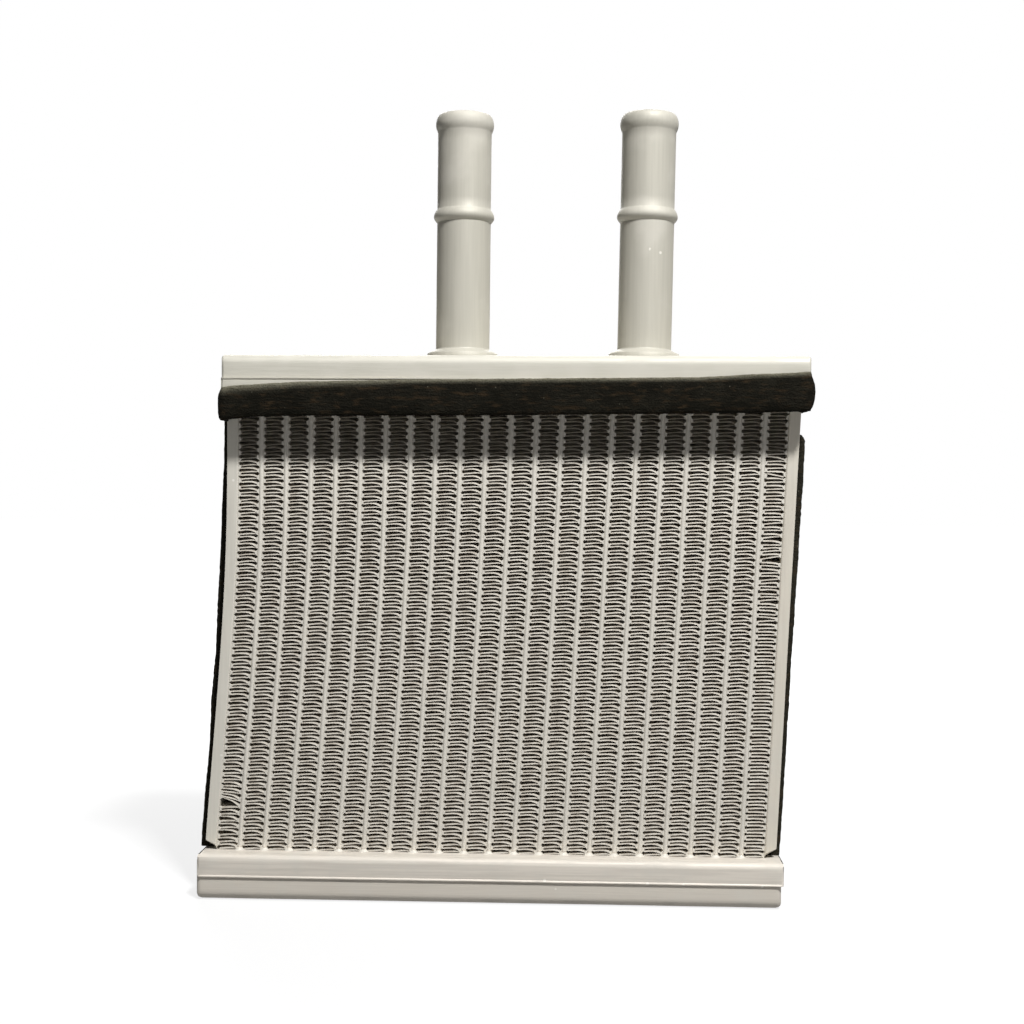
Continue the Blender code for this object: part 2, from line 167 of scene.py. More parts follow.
# Tanks and headers
SHEET = 1.2 * MM
HEADER_SHEET = 0.5 * MM
SEAT = 0.1 * MM
SKIRT = 6.3 * MM
HEADER_DEPTH = 39.0 * MM
HEADER_BEND = 1.8 * MM
HEADER_END_ROUNDING = 0.7 * MM
LIP_ROLL = 0.22 * MM
LIP_WAVE = 0.12 * MM
LIP_WAVE_LENGTH = 9 * MM
LIP_HEIGHTS = (0.25 * MM, 0.55 * MM)
TIGHT_BEND = 0.15 * MM
TANK_SPREAD = 0.35 * MM
LOWER_TANK_BENDS = (2.6 * MM, 1.5 * MM)
UPPER_TANK_BENDS = (2.6 * MM, 1.0 * MM)
BEND_STEPS = 8
CELL = 4.0 * MM
DENT = 0.10 * MM
DENT_SIZE = 22.0 * MM
DENT_SHARES = (0.7, 0.3)
DENT_SINK = 0.6

# Side plates
PLATE_SHEET = 1.0 * MM
PLATE_BEND = 0.6 * MM
FLANGE = 3.4 * MM
FLANGE_CUT = 2.6 * MM
FLANGE_CUT_SLOPE = 3.0

# Pipes, heights counted from the top of the upper tank
PIPE_PLACES = {
    "inlet_pipe": (-8.9 * MM, math.radians(0.3)),
    "outlet_pipe": (43.9 * MM, math.radians(0.9)),
}
PIPE_RADIUS = 7.8 * MM
PIPE_WALL = 1.2 * MM
PIPE_SPIGOT = 3.0 * MM
PIPE_TOP = 70.9 * MM
RIM_RADIUS = 6.9 * MM
END_BEAD = (68.0 * MM, 2.4 * MM, 2.3 * MM, 0.65 * MM)
STOP_BEAD = (41.3 * MM, 2.3 * MM, 1.7 * MM, 1.0 * MM)
BEAD_CRISPNESS = 0.5
PIPE_UNEVENNESS = 0.03 * MM
PIPE_WAVE = 9 * MM
COLLAR_RADIUS = 10.3 * MM
COLLAR_EDGE = 1.7 * MM
COLLAR_HEIGHT = 3.2 * MM
COLLAR_SEAT = -0.1 * MM
COLLAR_FILLET = 0.6 * MM
COLLAR_ROUNDING = (0.2 * MM, 0.15 * MM, 0.1 * MM)
POCKET_RADIUS = 10.8 * MM
POCKET_DEPTH = 0.4 * MM
PIPE_HOLE = 8.3 * MM
PIPE_SIDES = 64
BEAD_STEPS = 14
NOSE_STEPS = 8

# Foam seals
BAND_THICKNESS = 2.2 * MM
BAND_LEFT_THICKNESS = 1.5 * MM
BAND_RIGHT_THICKNESS = 1.85 * MM
BAND_CORNER = 0.3 * MM
BAND_STATION = 0.8 * MM
BAND_SECTION_POINTS = 30
STRIP_STATION = 0.9 * MM

# Along the band from its left end: share of its length, height of its upper and lower edge
BAND_TOPS = [
    (0.0, 144.8 * MM), (0.023, 145.4 * MM), (0.14, 146.6 * MM), (0.31, 147.3 * MM),
    (0.47, 147.6 * MM), (0.64, 147.9 * MM), (0.81, 148.2 * MM), (0.91, 149.2 * MM),
    (0.96, 149.5 * MM), (1.0, 149.9 * MM),
]
BAND_BOTTOMS = [
    (0.0, 135.6 * MM), (0.03, 136.2 * MM), (0.07, 136.85 * MM), (0.15, 137.1 * MM),
    (0.5, 137.5 * MM), (0.9, 138.4 * MM), (1.0, 139.0 * MM),
]

# How full the band's ends are from the lower edge (-1) to the upper edge (1)
LEFT_END_FULLNESS = [
    (-1.0, 0.6), (-0.8, 0.9), (-0.5, 1.0), (0.45, 1.0), (0.6, 0.9), (0.8, 0.54), (1.0, 0.17),
]
RIGHT_END_FULLNESS = [
    (-1.0, 0.05), (-0.93, 0.3), (-0.8, 0.55), (-0.65, 0.72), (-0.5, 0.84), (-0.35, 0.92),
    (0.0, 1.0), (0.4, 0.86), (0.55, 0.72), (0.7, 0.56), (0.85, 0.36), (1.0, 0.08),
]

# How far the strips stand out past the flanges, by height
LEFT_STRIP_PROUD = [
    (13 * MM, 2.2 * MM), (30 * MM, 2.2 * MM), (42 * MM, 2.05 * MM), (56 * MM, 2.6 * MM),
    (70 * MM, 2.4 * MM), (83 * MM, 2.75 * MM), (97 * MM, 2.55 * MM), (111 * MM, 2.45 * MM),
    (125 * MM, 1.9 * MM), (136 * MM, 1.8 * MM),
]
RIGHT_STRIP_PROUD = [
    (13 * MM, 1.5 * MM), (40 * MM, 1.8 * MM), (60 * MM, 1.75 * MM), (80 * MM, 2.0 * MM),
    (100 * MM, 2.1 * MM), (120 * MM, 2.25 * MM), (131.5 * MM, 2.2 * MM), (132.8 * MM, 1.0 * MM),
]
FOAM_ROUGHNESS = 0.16 * MM
FOAM_GRAINS = (0.9 * MM, 4.5 * MM)
FOAM_SHARES = (0.9, 0.8)
FOAM_CELL = 0.45 * MM
STRIP_CORNER = 0.9 * MM
STRIP_SIDES = 9
STRIP_PALE_EDGE = 0.08

# Band's section: how square its outer and inner half are, and its pale top, partly a torn fringe
# and partly a painted highlight
OUTER_SQUARENESS = 3.2
INNER_SQUARENESS = 9
TORN_AND_LIT_TOP_WIDTH = 1.3 * MM
TORN_AND_LIT_TOP_START = 1.15
TORN_AND_LIT_TOP_POWER = 1.5

# Lamps
LAMP_DISTANCE = 0.95
KEY_DIRECTION = (0.28, -0.56, 0.83)
KEY_SIZE = 0.12
KEY_POWER = 12.0
BACK_DIRECTION = (-0.10, 0.80, 0.55)
BACK_SIZE = 0.6
BACK_POWER = 6.5

# The room's light by a ray's direction: from, to, and the level at each. Depth has its own
# levels for what reaches the object plainly and for what its metal mirrors.
ROOM_BY_HEIGHT = (-0.6, 0.9, 0.6, 1.3)
ROOM_BY_SIDE = (-0.95, 0.6, 0.6, 1.1)
ROOM_BY_DEPTH = (-1.0, 0.2, 0.10, 0.03)
MIRRORED_BY_DEPTH = (0.5, 0.95, 0.12, 0.95)

# Floor
FLOOR_FADE = (0.10, 0.45)
FLOOR_LIFT = (0.78, 1.0)
FLOOR_SIZE = 4.0
FLOOR_SINK = 0.05 * MM

# Colours, linear
SHEET_METAL = ((0.60, 0.58, 0.50, 1.0), (0.68, 0.655, 0.575, 1.0))
LOWER_METAL = ((0.64, 0.59, 0.515, 1.0), (0.74, 0.685, 0.60, 1.0))
HEADER_METAL = ((0.64, 0.59, 0.52, 1.0), (0.84, 0.78, 0.69, 1.0))
# The two side plates are one metal: the left copy is painted darker (painted shade) and the right
# copy lighter (painted light), as the light falls from the right
LEFT_PLATE_SHADED_METAL = ((0.63, 0.60, 0.53, 1.0), (0.72, 0.69, 0.61, 1.0))
RIGHT_PLATE_LIT_METAL = ((0.68, 0.63, 0.54, 1.0), (0.76, 0.71, 0.61, 1.0))
TUBE_METAL = ((0.69, 0.65, 0.575, 1.0), (0.80, 0.76, 0.685, 1.0))
PIPE_METAL = ((0.50, 0.48, 0.41, 1.0), (0.57, 0.545, 0.47, 1.0))
FIN_METAL = ((0.395, 0.357, 0.30, 1.0), (0.45, 0.41, 0.35, 1.0))
FLUX_FILM = (0.70, 0.67, 0.60, 1.0)
BRAZE_SPECK = (0.92, 0.89, 0.82, 1.0)
FOAM_DARK = (0.007, 0.0065, 0.0045, 1.0)
FOAM_GREY = (0.017, 0.0155, 0.011, 1.0)
FOAM_BROWN = (0.030, 0.021, 0.012, 1.0)
# Pale foam colour: for real specks, and for the band's top, where it is partly a torn fringe and
# partly a painted highlight
FOAM_SPECK_AND_TOP_HIGHLIGHT = (0.16, 0.15, 0.11, 1.0)
FLOOR_COLOUR = (0.20, 0.20, 0.20, 1.0)
WHITE = (1.0, 1.0, 1.0, 1.0)

# Finishes: how strongly flux film and specks show, and what they and the lines do to the gloss
FILM_SHARE = 0.45
FILM_DULLING = 0.16
SPECK_SHARE = 0.7
SPECK_HEIGHT = 0.8
SPECK_SPACING = 3.2 * MM
LINE_ROUGHNESS = (-0.05, 0.06)
FOAM_SPECK_SPACING = 1.9 * MM
FOAM_SPECK_SHARE = 0.12
FOAM_GLOSS = 0.06
FOAM_RELIEF = 0.4 * MM


def fill_inputs(tree, node, inputs):
    """Fills a node's inputs: with a link where the value is a socket, with the value elsewhere."""
    for key, value in inputs.items():
        if isinstance(value, bpy.types.NodeSocket):
            tree.links.new(value, node.inputs[key])
        else:
            node.inputs[key].default_value = value


def add_node(tree, kind, inputs=None, **settings):
    """A shader node with its settings and inputs."""
    node = tree.nodes.new(kind)
    for key, value in settings.items():
        setattr(node, key, value)
    fill_inputs(tree, node, inputs or {})
    return node


def new_group(name, takes, gives):
    """An empty shader node group: the inputs by name with their values, the outputs by name."""
    tree = bpy.data.node_groups.new(name, "ShaderNodeTree")
    for label, value in takes.items():
        kind = "NodeSocketVector" if isinstance(value, tuple) else "NodeSocketFloat"
        socket = tree.interface.new_socket(name=label, in_out="INPUT", socket_type=kind)
        socket.default_value = value
    for label in gives:
        tree.interface.new_socket(name=label, in_out="OUTPUT", socket_type="NodeSocketFloat")
    return tree, tree.nodes.new("NodeGroupInput").outputs, tree.nodes.new("NodeGroupOutput").inputs


def add_group(tree, group, inputs):
    """The outputs of a node group placed in a material."""
    return add_node(tree, "ShaderNodeGroup", inputs, node_tree=group).outputs


def mixed(tree, share, first, second):
    """A colour between two colours."""
    inputs = {0: share, 6: first, 7: second}
    return add_node(tree, "ShaderNodeMix", inputs, data_type="RGBA").outputs[2]


def ranged(tree, value, low, high, to_low=0.0, to_high=1.0):
    """A value moved from one range to another, with a soft start and end."""
    inputs = {"Value": value, "From Min": low, "From Max": high}
    inputs.update({"To Min": to_low, "To Max": to_high})
    node = add_node(tree, "ShaderNodeMapRange", inputs, interpolation_type="SMOOTHSTEP")
    return node.outputs["Result"]


def calculated(tree, operation, first, second):
    """Two values joined by a calculation."""
    inputs = {0: first, 1: second}
    return add_node(tree, "ShaderNodeMath", inputs, operation=operation).outputs[0]


def stretched(tree, place, factors):
    """A place multiplied along its axes, so that a pattern read there is drawn out."""
    inputs = {0: place, 1: factors}
    return add_node(tree, "ShaderNodeVectorMath", inputs, operation="MULTIPLY").outputs[0]


def clouds(tree, place, scale, detail):
    """Soft noise at a place."""
    inputs = {"Vector": place, "Scale": scale, "Detail": detail}
    return add_node(tree, "ShaderNodeTexNoise", inputs).outputs["Fac"]


def drawn_grain():
    """Fine lines left by rolling or drawing, longest where the stretch is smallest."""
    takes = {"Place": (0, 0, 0), "Stretch": (1, 1, 1)}
    tree, given, result = new_group("drawn_grain", takes, ["Shade"])
    lines = clouds(tree, stretched(tree, given["Place"], given["Stretch"]), 1.0, 5.0)
    tree.links.new(ranged(tree, lines, 0.25, 0.75), result["Shade"])
    return tree


def flux_film():
    """The pale, cloudy film that brazing leaves, in patches of a given size."""
    takes = {"Place": (0, 0, 0), "Patch Size": 0.01, "Cover": 0.5}
    tree, given, result = new_group("flux_film", takes, ["Mask"])
    scale = calculated(tree, "DIVIDE", 1.0, given["Patch Size"])
    patches = clouds(tree, given["Place"], scale, 6.0)
    low = calculated(tree, "SUBTRACT", 0.85, given["Cover"])
    high = calculated(tree, "ADD", low, 0.25)
    tree.links.new(ranged(tree, patches, low, high), result["Mask"])
    return tree


def small_marks():
    """Scattered specks and pits. Share is how many of the cells hold one."""
    takes = {"Place": (0, 0, 0), "Spacing": 0.004, "Share": 0.3}
    tree, given, result = new_group("small_marks", takes, ["Mask"])
    scale = calculated(tree, "DIVIDE", 1.0, given["Spacing"])
    cells = add_node(tree, "ShaderNodeTexVoronoi", {"Vector": given["Place"], "Scale": scale})
    pick = add_node(tree, "ShaderNodeSeparateColor", {"Color": cells.outputs["Color"]})
    chosen = calculated(tree, "LESS_THAN", pick.outputs["Red"], given["Share"])
    reach = calculated(tree, "MULTIPLY", pick.outputs["Green"], 0.16)
    near = calculated(tree, "SUBTRACT", reach, cells.outputs["Distance"])
    dot = ranged(tree, near, -0.04, 0.04)
    tree.links.new(calculated(tree, "MULTIPLY", chosen, dot), result["Mask"])
    return tree


def foam_cells():
    """Fine foam: dark cells under faint streaks along its length, over slow changes in tone."""
    takes = {"Place": (0, 0, 0), "Cell Size": 0.001}
    tree, given, result = new_group("foam_cells", takes, ["Shade", "Height", "Streak"])
    place = given["Place"]
    scale = calculated(tree, "DIVIDE", 1.0, given["Cell Size"])
    cells = add_node(tree, "ShaderNodeTexVoronoi", {"Vector": place, "Scale": scale})
    walls = ranged(tree, cells.outputs["Distance"], 0.0, 0.9, 0.4, 1.0)
    fibres = clouds(tree, stretched(tree, place, (0.16, 0.16, 1.0)), scale, 4.0)
    height = calculated(tree, "MULTIPLY", walls, fibres)
    tone = clouds(tree, place, calculated(tree, "MULTIPLY", scale, 0.06), 3.0)
    shade = calculated(tree, "MULTIPLY", height, ranged(tree, tone, 0.3, 0.7, 0.5, 1.1))
    broad = calculated(tree, "MULTIPLY", scale, 0.35)
    streaks = clouds(tree, stretched(tree, place, (0.3, 0.3, 1.0)), broad, 3.0)
    tree.links.new(shade, result["Shade"])
    tree.links.new(height, result["Height"])
    tree.links.new(ranged(tree, streaks, 0.5, 0.72), result["Streak"])
    return tree


GRAIN = drawn_grain()
FILM = flux_film()
MARKS = small_marks()
CELLS = foam_cells()


def new_finish(name, roughness, metallic):
    """An empty finish with its gloss: gives the material, its nodes and its shader."""
    finish = bpy.data.materials.new(name)
    finish.use_nodes = True
    shader = finish.node_tree.nodes["Principled BSDF"]
    fill_inputs(finish.node_tree, shader, {"Roughness": roughness, "Metallic": metallic})
    return finish, finish.node_tree, shader


def add_relief(tree, shader, height, strength, depth):
    """Gives a finish its fine relief."""
    inputs = {"Height": height, "Strength": strength, "Distance": depth}
    bump = add_node(tree, "ShaderNodeBump", inputs)
    tree.links.new(bump.outputs["Normal"], shader.inputs["Normal"])


def aluminium(name, colours, metallic, roughness, stretch, patch, cover, specks, depth):
    """Brazed aluminium: drawn lines, a cloudy film of flux, and specks of braze."""
    finish, tree, shader = new_finish(name, roughness, metallic)
    place = add_node(tree, "ShaderNodeTexCoord").outputs["Object"]
    lines = add_group(tree, GRAIN, {"Place": place, "Stretch": stretch})["Shade"]
    film = add_group(tree, FILM, {"Place": place, "Patch Size": patch, "Cover": cover})["Mask"]
    spots = {"Place": place, "Spacing": SPECK_SPACING, "Share": specks}
    marks = add_group(tree, MARKS, spots)["Mask"]
    metal = mixed(tree, ranged(tree, lines, 0.0, 1.0, 0.25, 0.75), *colours)
    filmed = mixed(tree, calculated(tree, "MULTIPLY", film, FILM_SHARE), metal, FLUX_FILM)
    shown = calculated(tree, "MULTIPLY", marks, SPECK_SHARE)
    tree.links.new(mixed(tree, shown, filmed, BRAZE_SPECK), shader.inputs["Base Color"])
    dulled = calculated(tree, "MULTIPLY", film, FILM_DULLING)
    smooth, rough = (roughness + step for step in LINE_ROUGHNESS)
    lined = ranged(tree, lines, 0.0, 1.0, smooth, rough)
    tree.links.new(calculated(tree, "ADD", dulled, lined), shader.inputs["Roughness"])
    raised = calculated(tree, "ADD", calculated(tree, "MULTIPLY", marks, SPECK_HEIGHT), lines)
    add_relief(tree, shader, raised, 0.5, depth)
    return finish


def foam():
    """Black open foam with a paler edge: partly a torn fringe where it was cut, partly a painted
    highlight on top.
    """
    finish, tree, shader = new_finish("foam_black", 0.95, 0.0)
    shader.inputs["Specular IOR Level"].default_value = FOAM_GLOSS
    place = add_node(tree, "ShaderNodeTexCoord").outputs["Object"]
    cells = add_group(tree, CELLS, {"Place": place, "Cell Size": FOAM_CELL})
    spots = {"Place": place, "Spacing": FOAM_SPECK_SPACING, "Share": FOAM_SPECK_SHARE}
    specks = add_group(tree, MARKS, spots)["Mask"]
    plain = mixed(tree, ranged(tree, cells["Shade"], 0.1, 0.6), FOAM_DARK, FOAM_GREY)
    body = mixed(tree, cells["Streak"], plain, FOAM_BROWN)
    speckled = mixed(tree, calculated(tree, "MULTIPLY", specks, 0.5), body, FOAM_SPECK_AND_TOP_HIGHLIGHT)
    # The pale edge stored on the mesh: at the band's top, partly torn foam and partly a painted
    # highlight from the light above
    pale_edge = add_node(tree, "ShaderNodeAttribute", attribute_name="pale_edge").outputs["Fac"]
    edge_share = ranged(tree, cells["Height"], 0.0, 0.5, 0.35, 1.1)
    ragged = calculated(tree, "MULTIPLY", pale_edge, edge_share)
    tree.links.new(mixed(tree, ragged, speckled, FOAM_SPECK_AND_TOP_HIGHLIGHT), shader.inputs["Base Color"])
    add_relief(tree, shader, cells["Height"], 0.9, FOAM_RELIEF)
    return finish


TANK_LOOK = dict(
    metallic=0.12, roughness=0.56, stretch=(60, 900, 2600), patch=9 * MM, cover=0.42,
    specks=0.10, depth=0.02 * MM,
)
PLATE_LOOK = dict(
    metallic=0.2, roughness=0.48, stretch=(1400, 1400, 60), patch=12 * MM, cover=0.40,
    specks=0.08, depth=0.01 * MM,
)
TANK_FINISH = aluminium("tank_metal", SHEET_METAL, **TANK_LOOK)
LOWER_FINISH = aluminium("lower_tank_metal", LOWER_METAL, **TANK_LOOK)
HEADER_FINISH = aluminium(
    "header_metal", HEADER_METAL, metallic=0.12, roughness=0.56, stretch=(45, 900, 1500),
    patch=7 * MM, cover=0.40, specks=0.22, depth=0.03 * MM,
)
PIPE_FINISH = aluminium(
    "pipe_metal", PIPE_METAL, metallic=0.14, roughness=0.58, stretch=(1500, 1500, 45),
    patch=14 * MM, cover=0.36, specks=0.07, depth=0.01 * MM,
)
TUBE_FINISH = aluminium(
    "tube_metal", TUBE_METAL, metallic=0.10, roughness=0.52, stretch=(900, 900, 420),
    patch=2.2 * MM, cover=0.55, specks=0.25, depth=0.06 * MM,
)
FIN_FINISH = aluminium(
    "fin_metal", FIN_METAL, metallic=0.15, roughness=0.60, stretch=(500, 300, 500),
    patch=3 * MM, cover=0.50, specks=0.05, depth=0.005 * MM,
)
# The side plates' finishes: painted shade on the left plate, painted light on the right plate
PLATE_LIT_AND_SHADED_FINISHES = {
    -1: aluminium("left_plate_painted_shade", LEFT_PLATE_SHADED_METAL, **PLATE_LOOK),
    1: aluminium("right_plate_painted_light", RIGHT_PLATE_LIT_METAL, **PLATE_LOOK),
}
FOAM_FINISH = foam()


def new_piece(name, points, faces, sharp_angle=SHARP_ANGLE):
    """An object from points and faces."""
    mesh = bpy.data.meshes.new(name)
    mesh.from_pydata(points, [], faces)
    mesh.update()
    return shaded(name, mesh, sharp_angle)


def shaded(name, mesh, sharp_angle=SHARP_ANGLE):
    """An object from a mesh, smooth apart from its sharp edges."""
    mesh.shade_smooth()
    mesh.set_sharp_from_angle(angle=math.radians(sharp_angle))
    piece = bpy.data.objects.new(name, mesh)
    bpy.context.scene.collection.objects.link(piece)
    return piece


def dress(piece, node, finish):
    """Puts a finished piece in the place of its CAD node."""
    piece.data.materials.clear()
    piece.data.materials.append(finish)
    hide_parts(node)
    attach(piece, "root")


def loft(rings, closed):
    """Points and faces through rings of points, joined end to end or capped at both ends."""
    count = len(rings[0])
    points = [point for ring in rings for point in ring]
    faces = []
    for i in range(len(rings) if closed else len(rings) - 1):
        here, there = i * count, (i + 1) % len(rings) * count
        for j in range(count):
            k = (j + 1) % count
            faces.append((here + j, here + k, there + k, there + j))
    if not closed:
        faces.append(tuple(reversed(range(count))))
        faces.append(tuple(range(len(points) - count, len(points))))
    return points, faces


def facing_out(mesh):
    """Turns a mesh's faces outwards."""
    bm = bmesh.new()
    bm.from_mesh(mesh)
    bmesh.ops.recalc_face_normals(bm, faces=bm.faces)
    bm.to_mesh(mesh)
    bm.free()


def lofted_piece(name, rings, closed=False, sharp_angle=SHARP_ANGLE):
    """An object through rings of points."""
    points, faces = loft(rings, closed)
    piece = new_piece(name, points, faces, sharp_angle)
    facing_out(piece.data)
    return piece


def cut_mesh(piece, cutters):
    """The piece's mesh with its modifiers applied and the cutters cut away. All are removed."""
    for cutter in cutters:
        cut = piece.modifiers.new(cutter.name, "BOOLEAN")
        cut.operation = "DIFFERENCE"
        cut.object = cutter
    bpy.context.view_layer.update()
    graph = bpy.context.evaluated_depsgraph_get()
    mesh = bpy.data.meshes.new_from_object(piece.evaluated_get(graph))
    for used in (piece, *cutters):
        bpy.data.objects.remove(used, do_unlink=True)
    return mesh


def arc(centre, radius, start, end, steps):
    """Points on an arc, angles in degrees."""
    points = []
    for i in range(steps + 1):
        angle = math.radians(start + (end - start) * i / steps)
        points.append((centre[0] + radius * math.cos(angle), centre[1] + radius * math.sin(angle)))
    return points


LOWER_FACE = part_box("lower_header")[1].z
UPPER_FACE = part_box("upper_header")[0].z
CORE_HEIGHT = UPPER_FACE - LOWER_FACE
TUBE_LOW, TUBE_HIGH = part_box("tube_21")
LEAN = (TUBE_HIGH.x - TUBE_LOW.x - TUBE_THICKNESS) / (TUBE_HIGH.z - TUBE_LOW.z)
TUBE_PITCH = TUBE_LOW.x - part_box("tube_20")[0].x
TUBE_DEPTH = TUBE_HIGH.y - TUBE_LOW.y
CORE_X = TUBE_LOW.x + TUBE_THICKNESS / 2 + LEAN * TUBE_REACH - TUBE_PITCH * (TUBE_COUNT - 1) / 2
CORE_EDGE = TUBE_PITCH * TUBE_COUNT / 2 + FIN_WIDTH / 2


def between(table, place):
    """The value at a place, along straight lines between a table's places and values."""
    for (low, first), (high, second) in zip(table, table[1:]):
        if place <= high:
            return first + (second - first) * max(0.0, place - low) / (high - low)
    return table[-1][1]


def core_x(x, z):
    """Where a point of the straight core comes to lie: racked to +X, its left side pulled in."""
    share = min(1.0, max(0.0, (z - LOWER_FACE) / CORE_HEIGHT))
    pulled = math.sin(math.pi * share ** PULL_SKEW)
    return x + CORE_X + LEAN * (z - LOWER_FACE) + PULL_SLOPE * max(0.0, PULL_START - x) * pulled


def tube_x(index):
    """Where a tube's middle is across the straight core."""
    return (index - (TUBE_COUNT - 1) / 2) * TUBE_PITCH


def fin_x(index):
    """Where a fin's middle is across the straight core."""
    return (index - (FIN_COUNT - 1) / 2) * TUBE_PITCH


def obround(half_width, half_length, steps):
    """A flat outline with round ends, its long side along Y."""
    straight = half_length - half_width
    front = arc((0.0, -straight), half_width, 180, 360, steps)
    back = arc((0.0, straight), half_width, 0, 180, steps)
    return front + back


def tube_heights():
    """Heights of a tube's sections: both ends, the feet at the headers and even steps between."""
    heights = [LOWER_FACE - TUBE_REACH, UPPER_FACE + TUBE_REACH]
    for share in (-0.02, 0.25, 0.6, 1.0):
        heights += [LOWER_FACE + share * FOOT_SPREAD, UPPER_FACE - share * FOOT_SPREAD]
    count = round(CORE_HEIGHT / TUBE_STATION)
    heights += [LOWER_FACE + CORE_HEIGHT * i / count for i in range(1, count)]
    return sorted(heights)


def make_tube(index, beads):
    """A flat tube, a little uneven, with a foot at each header and its beads to the fins."""
    chance = random.Random(TUBE_SEED + index)
    rings = []
    for z in tube_heights():
        foot = max(0.0, 1 - min(abs(z - LOWER_FACE), abs(z - UPPER_FACE)) / FOOT_SPREAD)
        inside = z < LOWER_FACE - NEAR or z > UPPER_FACE + NEAR
        spread = 0.0 if inside else FOOT_SPREAD * foot * foot
        swell = 0.0 if inside else chance.uniform(*TUBE_SWELL)
        half_width = TUBE_THICKNESS / 2 + spread + swell
        outline = obround(half_width, TUBE_DEPTH / 2 + spread, NOSE_ARC_STEPS)
        rings.append([(core_x(tube_x(index), z) + x, y, z) for x, y in outline])
    points, faces = loft(rings, False)
    for bead in beads:
        faces += bar_faces(len(points), 2)
        points += bead
    node = f"tube_{index + 1:02d}"
    piece = new_piece(node + "_brazed", points, faces)
    facing_out(piece.data)
    dress(piece, node, TUBE_FINISH)


def bar_faces(first, sections):
    """The faces of a closed bar through sections of four points each."""
    last = first + 4 * (sections - 1)
    faces = []
    for here in range(first, last, 4):
        for j in range(4):
            k = (j + 1) % 4
            faces.append((here + j, here + k, here + 4 + k, here + 4 + j))
    faces.append((first + 3, first + 2, first + 1, first))
    faces.append((last, last + 1, last + 2, last + 3))
    return faces


def first_above(height, start, pitch, opens_left):
    """The number of the first leaf over a height whose fold under it opens as asked."""
    number = round((height - start) / pitch)
    return number + (number + opens_left) % 2


def knocked(u, leaf, knocks, pitch):
    """How far a point of a leaf is pushed up by the knocks; u runs from -1 at the left to 1."""
    moved = 0.0
    for number, left, right, reach in knocks:
        away = (leaf - number + 0.5) * pitch / reach
        if away > 0:
            pushed = left + (right - left) * (u + 1) / 2
            moved += math.copysign(1.0, reach) * pushed * math.exp(-away)
    return moved


def fin_knocks(index, start, pitch):
    """The knocks of an outermost fin, each with the number of the leaf that it starts from."""
    knocks = []
    for height, left, right, reach in {0: KNOCKS_LEFT, FIN_COUNT - 1: KNOCKS_RIGHT}.get(index, []):
        knocks.append((first_above(height, start, pitch, left > right), left, right, reach))
    return knocks


def worn_leaf(level, tilt, pitch, chance):
    """Level and tilt of a leaf of the right-hand fin, ruffled or leaning at some heights."""
    if RUFFLED_RIGHT[0] < level < RUFFLED_RIGHT[1]:
        level += chance.uniform(-RUFFLE, RUFFLE) * RUFFLE_OF_LEVEL
        tilt = chance.uniform(-RUFFLE, RUFFLE)
    for height, fall in LEANING_RIGHT:
        if abs(level - height) < pitch / 2:
            tilt = -fall
    return level, tilt


def fin_path(index, chance):
    """The folded strip seen from the front: points as place across, height and sheet thickness."""
    reach = FIN_WIDTH / 2 - LEAF_CLEAR - ARCHED_SHEET / 2 - TURN_RADIUS
    start = LOWER_FACE + chance.uniform(*FIN_START)
    pitch = (CORE_HEIGHT - FIN_SPARE) / LEAVES
    knocks = fin_knocks(index, start, pitch)
    rightmost = index == FIN_COUNT - 1
    path = []
    for leaf in range(LEAVES):
        level = start + pitch * (leaf + 0.25) + chance.uniform(-LEAF_WANDER, LEAF_WANDER)
        shape, sheet = (ARCHED_LEAF, ARCHED_SHEET) if leaf % 2 else (STRAIGHT_LEAF, STRAIGHT_SHEET)
        curve = chance.uniform(*LEAF_CURVES) * (RIGHTMOST_CURVE if rightmost else 1.0)
        tilt = chance.uniform(-LEAF_LEAN, LEAF_LEAN)
        if rightmost:
            level, tilt = worn_leaf(level, tilt, pitch, chance)
        leaf_points = []
        for share, height in shape:
            u = 2 * share - 1
            z = level + curve * height + tilt * u + knocked(u, leaf, knocks, pitch)
            leaf_points.append((reach * u, z, sheet))
        if leaf % 2:
            leaf_points.reverse()
        if path:
            path += turn_points(path[-1], leaf_points[0], 1 if leaf % 2 else -1)
        path += leaf_points
    return path


def turn_points(low_end, high_end, side):
    """The rounded turn between two leaves, at the right (1) or left (-1), without its ends."""
    middle = (low_end[1] + high_end[1]) / 2
    half = (high_end[1] - low_end[1]) / 2
    points = []
    for i in range(1, TURN_STEPS):
        angle = math.pi * (i / TURN_STEPS - 0.5)
        x = low_end[0] + side * TURN_RADIUS * math.cos(angle)
        points.append((x, middle + half * math.sin(angle), ARCHED_SHEET))
    return points


def path_normals(path):
    """Unit normals of a path in the X-Z plane."""
    normals = []
    for i, _ in enumerate(path):
        before, after = path[max(i - 1, 0)], path[min(i + 1, len(path) - 1)]
        along = Vector((after[0] - before[0], after[1] - before[1])).normalized()
        normals.append((-along.y, along.x))
    return normals


